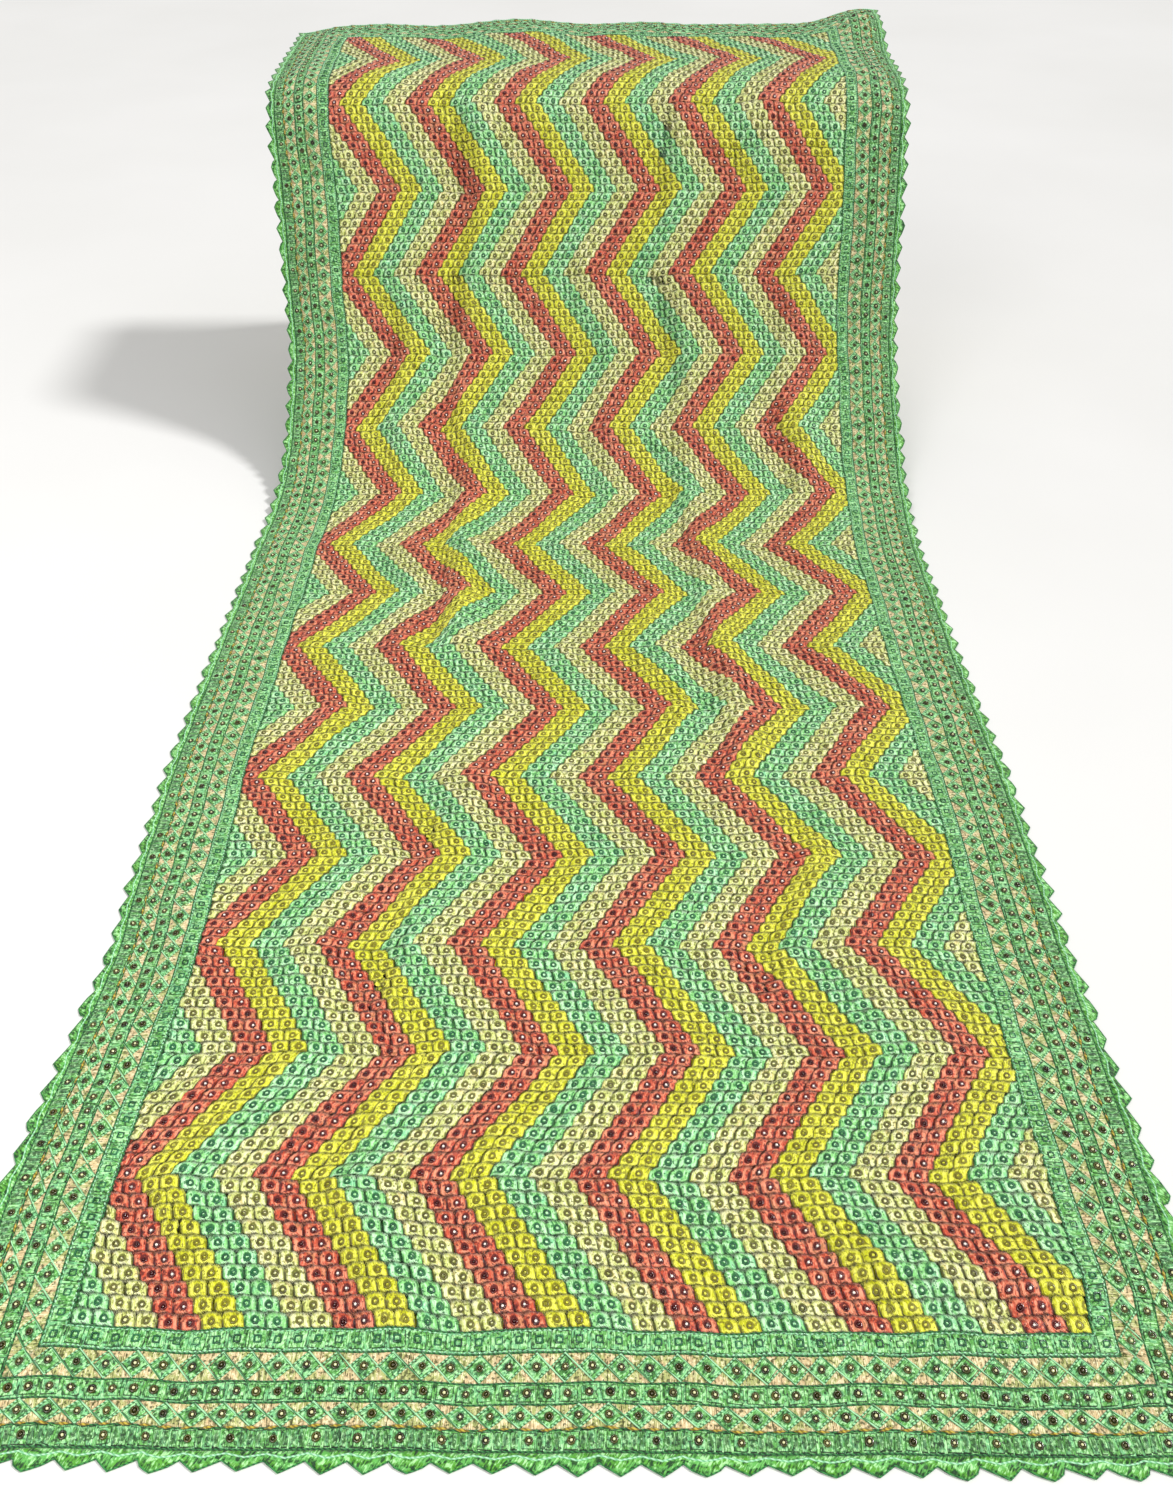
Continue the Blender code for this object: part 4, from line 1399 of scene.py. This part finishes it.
def join_meshes(parts):
    """Several meshes of the same kinds of face as one."""
    points, blocks, first = [], None, 0
    for place, faces in parts:
        points.append(place)
        moved = [block + first for block in faces]
        blocks = moved if blocks is None else [np.concatenate(pair) for pair in zip(blocks, moved)]
        first += len(place)
    return np.concatenate(points), blocks


def thread_material(name, dark, light, twist):
    """Twisted thread: a wave on Object coordinates gives the slanting plies."""
    material = new_material(name, 0.6, 0.2, 0.35)
    place = object_place(material)
    plies = wave(material, place, twist, 1.5, "DIAGONAL")
    return finish_material(material, ramp(material, plies, [(0.1, dark), (0.9, light)]), plies)


print("sides of a cord:", CORD_SIDES)

# %% Seam cords
SEAM_STEP = 0.012
SEAM_LIFT = CLOTH_THICKNESS + 0.0002
SEAM_RADIUS = 0.0008
SEAM_OUTS = (0.0006, *BAND_EDGES[1:-1], BORDER_WIDTH - 0.0004)
dark_cord = thread_material("cord_dark_green", paint(8, 62, 26), paint(52, 124, 62), 160.0)
light_cord = thread_material("cord_light_green", paint(120, 196, 138), paint(186, 238, 196), 160.0)
seams = []
for side in SIDES:
    for out in SEAM_OUTS:
        reach = side_half(side) + out
        t = np.linspace(-reach, reach, int(2 * reach / SEAM_STEP))
        seams.append(cord_mesh(side, t, out, SEAM_LIFT, SEAM_RADIUS))
sew("seam_cords", join_meshes(seams), dark_cord)

# %% Lattice cords
LATTICE_BANDS = (1, 3)
LATTICE_RADIUS = 0.0009
LATTICE_LIFT = BAND_TOP + 0.0003
LATTICE_INSET = 0.0008
CROSSING_RISE = 0.0003
lattice_cord = thread_material("cord_lattice", paint(48, 116, 56), paint(176, 236, 180), 150.0)
lattice = []
for number in LATTICE_BANDS:
    middle_out, rise = band_middle(number), band_half(number) - LATTICE_INSET
    for side in SIDES:
        centres = spaced(side, middle_out, DIAMOND_PITCH, band_half(number))
        pitch = centres[1] - centres[0]
        t = np.concatenate([[centres[0] - pitch / 2], centres, [centres[-1] + pitch / 2]])
        swing = np.where(np.arange(len(t)) % 2 == 0, rise, -rise)
        swing[[0, -1]] = 0.0
        loop_t = side_half(side) + middle_out + rise * np.array([-1.0, 0.0, 1.0, 0.0, -1.0])
        loop_out = middle_out + rise * np.array([0.0, 1.0, 0.0, -1.0, 0.0])
        for path_t, path_out, lift in (
            (t, middle_out + swing, LATTICE_LIFT),
            (t, middle_out - swing, LATTICE_LIFT + CROSSING_RISE),
            (loop_t, loop_out, LATTICE_LIFT),
        ):
            lattice.append(cord_mesh(side, path_t, path_out, lift, LATTICE_RADIUS))
sew("lattice_cords", join_meshes(lattice), lattice_cord)

# %% Chain stitch beside the innermost band
CHAIN_PITCH = 0.0036
CHAIN_LEAN = 0.35
CHAIN_RISE = 0.0006
CHAIN_OUTS = (0.0020, 0.0152)
chain_shape = np.array([
    [0.0022, 0, 0], [-0.0022, 0, 0], [0, 0.0008, 0], [0, -0.0008, 0], [0, 0, 0.0009],
    [0, 0, -0.0004],
])
chain_faces = [np.array([
    [0, 2, 4], [2, 1, 4], [1, 3, 4], [3, 0, 4], [2, 0, 5], [1, 2, 5], [3, 1, 5], [0, 3, 5],
])]
chain_stations = [
    (side, spaced(side, out, CHAIN_PITCH), out) for out in CHAIN_OUTS for side in SIDES
]
chain_tilt = np.where(np.arange(count_of(chain_stations)) % 2 == 0, CHAIN_LEAN, -CHAIN_LEAN)
mesh = scatter_on_sides(
    chain_shape, chain_faces, chain_stations, CLOTH_THICKNESS + CHAIN_RISE, tilt=chain_tilt
)
sew("chain_stitches", mesh, light_cord)

# %% Golden dashes over the outermost seam between two bands
DASH_PITCH = BAR_PITCH / 2
DASH_SCALE = np.array([2.7, 1.7, 1.3])
DASH_RISE = 0.0017
DASH_SIZES = (0.7, 1.1)
DASH_TILT = 0.08
gold_cord = thread_material("cord_gold", paint(128, 104, 10), paint(204, 178, 62), 160.0)
dash_out = BAND_EDGES[4]
dash_stations = [(side, spaced(side, dash_out, DASH_PITCH), dash_out) for side in SIDES]
dash_count = count_of(dash_stations)
mesh = scatter_on_sides(
    chain_shape * DASH_SCALE, chain_faces, dash_stations, CLOTH_THICKNESS + DASH_RISE,
    draw.uniform(*DASH_SIZES, dash_count), draw.normal(0.0, DASH_TILT, dash_count),
)
sew("gold_dashes", mesh, gold_cord)

# %% [markdown]
# ## The pointed edging
# The edging is a narrow strip, cut into points and overcast in green. No two points are
# quite alike, so each gets its own depth from the seeded draw. A light cord follows the points
# inside and a dark one binds their rim.

# %% Points of the edging
POINT_STATIONS = 6
EDGING_LIFTS = np.array([0.0, 0.0007, 0.0006, -0.0005]) + CLOTH_THICKNESS
EDGING_SHARES = np.array([0.0, 0.3, 0.7, 1.0])
ROUNDED_TIP = 0.62
ROUNDED_SHARE = 0.3
SHALLOWEST_POINT = 0.70
RIM_INSET = 0.0004
EDGE_CORD_RADIUS = 0.0007
POINT_CORD_OUT = 0.0022
POINT_CORD_SWING = 0.0030
POINT_CORD_RISE = 0.0012


def edging_material():
    """Overcast stitch: slanting green streaks, with patches of a fresher green, patches of painted
    shadow, and a darker tone towards the outer edge.
    """
    thread = THREADS["edge_green"]
    material = new_material("edging_overcast", 0.5, 0.2, 0.4)
    place = note_place(material, "strip")
    turned = wire(
        material, "Mapping", {"Vector": place, "Rotation": (0.0, 0.0, 0.6)}
    ).outputs["Vector"]
    fine = fade(material, streaks(material, turned, (700.0, 160.0, 1.0)), 0.36, 0.64)
    broad = fade(material, streaks(material, turned, (260.0, 240.0, 1.0), 2.0), 0.40, 0.60)
    patches = fade(material, streaks(material, place, (60.0, 150.0, 1.0), 2.0), 0.46, 0.60)
    shadows = fade(material, streaks(material, place, (24.0, 90.0, 3.0), 2.0), 0.50, 0.66)
    _, _, outward = wire(material, "SeparateXYZ", {"Vector": place}).outputs
    # painted shadow patches and a darker tone towards the outer edge lower the value
    value = weighted(material, (fine, 0.5), (broad, 0.5), (outward, -0.20), (shadows, -0.35))
    colour = thread_colour(material, thread, value, patches, (-0.2, 0.40), (0.40, 0.95))
    return finish_material(material, colour, fine, *THREAD_BUMP)


def point_depths(side):
    """How far each station stands out: a triangle wave, with uneven tips, some of them rounded."""
    count = POINTS_LONG_SIDE if side in LONG_SIDES else POINTS_SHORT_SIDE
    place = np.arange(count * POINT_STATIONS + 1) / POINT_STATIONS
    number = np.round(place).astype(int)
    rise = np.abs(2 * (place % 1.0) - 1.0)
    power = np.where(draw.random(count + 1) < ROUNDED_SHARE, ROUNDED_TIP, 1.0)[number]
    uneven = draw.uniform(SHALLOWEST_POINT, 1.0, count + 1)
    uneven[[0, -1]] = 1.0
    return 2 * place / count - 1.0, rise ** power * uneven[number]


print("points:", 2 * (POINTS_LONG_SIDE + POINTS_SHORT_SIDE))

# %% Edging strips and their cords
edging_look = edging_material()
edgings, rim_cords, point_cords = {}, [], []
for side in SIDES:
    share, depth = point_depths(side)
    inner = BORDER_WIDTH + SEAM_GAP
    outer = BORDER_WIDTH + EDGING_BAND + depth * POINT_DEPTH
    out = inner + EDGING_SHARES[:, None] * (outer - inner)[None, :]
    t, across, along = strip_grid(side, share[None, :], out)
    points, upper, under, rim = cloth_wall(
        drape(across, along, 0.0), drape(across, along, EDGING_LIFTS[:, None])
    )
    note = np.stack([t, out, np.broadcast_to(EDGING_SHARES[:, None], t.shape)], axis=-1)
    note = note.reshape(-1, 3)
    edgings[side] = add_piece(
        "shawl_edging_" + side, points, [upper, under, rim], [edging_look], "edging_cloth",
        note=("strip", np.concatenate([note, note])),
    )
    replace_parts(edgings[side], "edging_" + side)
    lift = EDGING_LIFTS[-1]
    rim_cords.append(cord_mesh(side, t[-1], out[-1] - RIM_INSET, lift, EDGE_CORD_RADIUS))
    line = BORDER_WIDTH + POINT_CORD_OUT + POINT_CORD_SWING * depth
    line_t = share * (side_half(side) + line)
    point_cords.append(cord_mesh(side, line_t, line, lift + POINT_CORD_RISE, EDGE_CORD_RADIUS))
rim_look = thread_material("cord_rim_green", paint(16, 84, 36), paint(52, 140, 66), 140.0)
edging_pieces = [
    add_piece("edging_rim_cords", *join_meshes(rim_cords), [rim_look], "edging_cloth"),
    add_piece("edging_point_cords", *join_meshes(point_cords), [light_cord], "edging_cloth"),
]

# %% [markdown]
# ## The bench
# The shawl needs something to hang from. It is a plain low bench: a foam body with a rolled
# front under a pale woven cover, on a recessed wooden plinth. The body follows the same side
# outline as its solid and is drawn in on a quarter round at each end. A piped seam runs round
# each end, where such a cover is sewn.

# %% Side outline of the padded body
BENCH_WIDTH = 0.800
BENCH_END_ROUND = 0.030
BENCH_CLEARANCE = 0.0005
BENCH_BACK_ALONG = 2.105
BENCH_BACK_RADIUS = 0.045
PLINTH_HEIGHT = 0.060
TOP_ANGLE = np.radians(4.0)
NOSE_ANGLE = np.radians(62.5)
QUILT_DIP = 0.0016
FRONT_POINTS, NOSE_POINTS, TOP_POINTS, BACK_POINTS, REAR_POINTS = 18, 22, 14, 14, 20
END_RINGS = 8
MIDDLE_RINGS = 42


def bench_outline():
    """Points and outward directions from front foot over the nose and top to the back foot."""
    first_y, first_z, first_angle = path_at(NOSE_START)
    radius = (NOSE_END - NOSE_START) / (NOSE_ANGLE - TOP_ANGLE)
    centre_y = first_y + radius * np.sin(first_angle)
    centre_z = first_z - radius * np.cos(first_angle)
    nose = np.linspace(np.radians(90.0), TOP_ANGLE, NOSE_POINTS)
    pad = radius - BENCH_CLEARANCE
    nose_points = np.stack([centre_y - pad * np.sin(nose), centre_z + pad * np.cos(nose)], axis=1)
    top_along = np.linspace(NOSE_END, BENCH_BACK_ALONG, TOP_POINTS)[1:]
    top_y, top_z, top_angle = path_at(top_along)
    top_points = np.stack([
        top_y + BENCH_CLEARANCE * np.sin(top_angle), top_z - BENCH_CLEARANCE * np.cos(top_angle),
    ], axis=1)
    back = np.linspace(top_angle[-1], np.radians(-90.0), BACK_POINTS)[1:]
    back_y = top_points[-1, 0] + BENCH_BACK_RADIUS * np.sin(top_angle[-1])
    back_z = top_points[-1, 1] - BENCH_BACK_RADIUS * np.cos(top_angle[-1])
    back_points = np.stack([
        back_y - BENCH_BACK_RADIUS * np.sin(back), back_z + BENCH_BACK_RADIUS * np.cos(back),
    ], axis=1)
    foot = PLINTH_HEIGHT + SEAM_GAP
    front_z = np.linspace(foot, nose_points[0, 1], FRONT_POINTS)[:-1]
    back_foot_z = np.linspace(back_points[-1, 1], foot, REAR_POINTS)[1:]
    front = np.stack([np.full_like(front_z, nose_points[0, 0]), front_z], axis=1)
    rear = np.stack([np.full_like(back_foot_z, back_points[-1, 0]), back_foot_z], axis=1)
    points = np.concatenate([front, nose_points, top_points, back_points, rear])
    angles = np.concatenate([
        np.full(len(front), np.radians(90.0)), nose, top_angle, back,
        np.full(len(rear), np.radians(-90.0)),
    ])
    return points, np.stack([-np.sin(angles), np.cos(angles)], axis=1)


outline, outward = bench_outline()
print("bench outline points:", len(outline))


# %% The padded body
def cover_material():
    """Plain woven cover: warp and weft waves on Object coordinates and a slow cloudy tone."""
    material = new_material("bench_weave", 0.9, 0.25, 0.2)
    place = object_place(material)
    warp, depthwise, weft = (wave(material, place, 260.0, 0.5, way) for way in "XYZ")
    weave = product(material, warp, maths(material, "ADD", weft, depthwise))
    cloud = streaks(material, place, (14.0, 14.0, 14.0), 4.0)
    slubs = streaks(material, place, (18.0, 400.0, 400.0))
    value = weighted(material, (weave, 0.25), (cloud, 0.45), (slubs, 0.25))
    colour = ramp(
        material, value,
        [(0.15, paint(168, 158, 142)), (0.5, paint(206, 198, 184)), (0.85, paint(226, 220, 208))],
    )
    return finish_material(material, colour, weave, 0.0006, 0.6)


def bench_ring(x, drawn_in):
    """The outline at a place across the bench, drawn in square to itself but not under its foot."""
    ring = outline - outward * drawn_in
    ring[:, 1] = np.maximum(ring[:, 1], outline[0, 1])
    return np.column_stack([np.full(len(ring), x), ring])


def bench_points():
    """All rings from the right end to the left one, in the object's frame.

    At each end a quarter round draws the outline in by 1 - cos and moves it out by sin.
    """
    quarter = np.radians(np.linspace(90.0, 0.0, END_RINGS))
    drawn_in = BENCH_END_ROUND * (1.0 - np.cos(quarter))
    reach = BENCH_WIDTH / 2 - BENCH_END_ROUND * (1.0 - np.sin(quarter))
    right = [bench_ring(x, inset) for x, inset in zip(reach, drawn_in)]
    left = [ring * np.array([-1.0, 1.0, 1.0]) for ring in right[::-1]]
    between = []
    for x in np.linspace(reach[-1], -reach[-1], MIDDLE_RINGS)[1:-1]:
        wave = np.sin(46.0 * x + 8.0 * outline[:, 1] + 19.0 * outline[:, 0])
        between.append(bench_ring(x, QUILT_DIP * (0.5 + 0.5 * wave)[:, None]))
    rings = np.stack(right + between + left)
    return rings - np.array([CENTRE_X, CENTRE_Y, 0.0])


rings = bench_points()
count, size = rings.shape[:2]
tube = ring_faces(count, size, False)
caps = np.stack([np.arange(size)[::-1], np.arange((count - 1) * size, count * size)])
bench_look = cover_material()
bench = add_piece("bench_cover", rings, [tube, caps], [bench_look], "bench_cover")
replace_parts(bench, "bench_pad")

# %% Piping round both ends
PIPING_RADIUS = 0.003
PIPING_ANGLE = np.radians(45.0)
PIPING_PROUD = 0.0008
PIPING_SIDES = 6


def piping(sign):
    """A tube along the outline where the end round is half turned, from foot to foot."""
    inset = BENCH_END_ROUND * (1.0 - np.cos(PIPING_ANGLE)) - PIPING_PROUD
    past = BENCH_END_ROUND * (1.0 - np.sin(PIPING_ANGLE)) - PIPING_PROUD
    path = bench_ring(sign * (BENCH_WIDTH / 2 - past), inset)
    path[:, 2] = np.maximum(path[:, 2], outline[0, 1] + PIPING_RADIUS)
    turn = np.arange(PIPING_SIDES) * 2 * np.pi / PIPING_SIDES
    side_way = np.array([1.0, 0.0, 0.0])
    out_way = np.column_stack([np.zeros(len(outward)), outward])
    rings = (
        path[:, None, :] + PIPING_RADIUS * np.cos(turn)[None, :, None] * out_way[:, None, :]
        - PIPING_RADIUS * np.sin(turn)[None, :, None] * side_way
    )
    faces = ring_faces(len(path), PIPING_SIDES, False)[:, ::-1]
    index = np.arange(len(path) * PIPING_SIDES)
    caps = np.stack([index[:PIPING_SIDES], index[-PIPING_SIDES:][::-1]])
    return (rings - np.array([CENTRE_X, CENTRE_Y, 0.0])).reshape(-1, 3), [faces, caps]


add_piece(
    "bench_piping", *join_meshes([piping(1.0), piping(-1.0)]), [bench_look], "bench_cover"
)

# %% [markdown]
# ## The plinth
# The plinth is a plain recessed wooden box. Its solid has the right shape already, so the CAD
# node stays and only gets oiled wood: long rings of grain with fine pores.

# %% Oiled wood on the plinth
def wood_material():
    """Rings of grain stretched along the plinth, broken by noise, with fine dark pores."""
    material = new_material("plinth_oiled_wood", 0.42, 0.0, 0.5)
    place = object_place(material)
    grain = wire(material, "Mapping", {"Vector": place, "Scale": (2.2, 16.0, 16.0)})
    rings = wire(
        material, "TexWave",
        {"Vector": grain.outputs["Vector"], "Scale": 2.4, "Distortion": 7.0, "Detail": 3.0},
        wave_type="RINGS", rings_direction="X",
    ).outputs["Fac"]
    pores = streaks(material, place, (30.0, 900.0, 900.0), 2.0)
    value = weighted(material, (rings, 0.6), (pores, 0.4))
    colour = ramp(
        material, value,
        [(0.1, paint(78, 50, 30)), (0.5, paint(126, 84, 52)), (0.9, paint(162, 116, 78))],
    )
    return finish_material(material, colour, pores, 0.0004, 0.5)


plinth = bpy.data.objects["bench_plinth"]
plinth.data.materials.clear()
plinth.data.materials.append(wood_material())
print("plinth material:", plinth.data.materials[0].name)

# %% [markdown]


# %% [markdown]
# ## Floor and light
# The picture was taken in soft light from above and a little behind the right side, so the bench
# edge shines and the upper part of the slope is dark. One distant soft lamp gives that and lights
# the floor evenly, a fill from the front keeps the shadows open, and a white sky does the rest.

# %% Floor, lamps and sky
FILL_PLACE = Vector((-1.30, -2.00, 2.30))
FILL_AIM = Vector((0.0, 0.0, 0.1))
FILL_SIZE = 1.4
FILL_WATTS = 38.0
KEY_FROM = Vector((0.95, 0.10, 1.0))
KEY_STRENGTH = 2.3
KEY_SPREAD = np.radians(9.0)
SKY_STRENGTH = 0.58
FLOOR_HALF = 12.0
FLOOR_LINES = 9


def add_floor():
    """A plain pale floor with a little slow tone in it."""
    material = new_material("studio_floor", 0.9, 0.0, 0.2)
    place = object_place(material)
    cloud = streaks(material, place, (1.5, 1.5, 1.5), 3.0)
    finish_material(
        material, ramp(material, cloud, [(0.2, paint(222, 221, 218)), (0.8, paint(229, 228, 226))])
    )
    mesh = bpy.data.meshes.new("studio_floor")
    reach = np.linspace(-FLOOR_HALF, FLOOR_HALF, FLOOR_LINES)
    y, x = np.meshgrid(reach, reach, indexing="ij")
    points = np.stack([x, y, np.zeros_like(x)], axis=-1).reshape(-1, 3)
    mesh.from_pydata(points.tolist(), [], grid_faces(FLOOR_LINES, FLOOR_LINES).tolist())
    mesh.materials.append(material)
    floor = bpy.data.objects.new("studio_floor", mesh)
    bpy.context.scene.collection.objects.link(floor)
    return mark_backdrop(floor)


def add_lamp(name, kind, energy, size_name, size, place, way):
    """A lamp at a place that shines along a way."""
    data = bpy.data.lights.new(name, kind)
    data.energy = energy
    setattr(data, size_name, size)
    lamp = bpy.data.objects.new(name, data)
    lamp.location = place
    lamp.rotation_euler = way.to_track_quat("-Z", "Y").to_euler()
    bpy.context.scene.collection.objects.link(lamp)


add_floor()
add_lamp("key", "SUN", KEY_STRENGTH, "angle", KEY_SPREAD, KEY_FROM * 2.0, -KEY_FROM)
add_lamp("fill", "AREA", FILL_WATTS, "size", FILL_SIZE, FILL_PLACE, FILL_AIM - FILL_PLACE)
world = bpy.data.worlds.new("white_sky")
world.use_nodes = True
world.node_tree.nodes["Background"].inputs["Color"].default_value = (1.0, 1.0, 1.0, 1.0)
world.node_tree.nodes["Background"].inputs["Strength"].default_value = SKY_STRENGTH
bpy.context.scene.world = world
bpy.context.scene.view_settings.view_transform = "Standard"
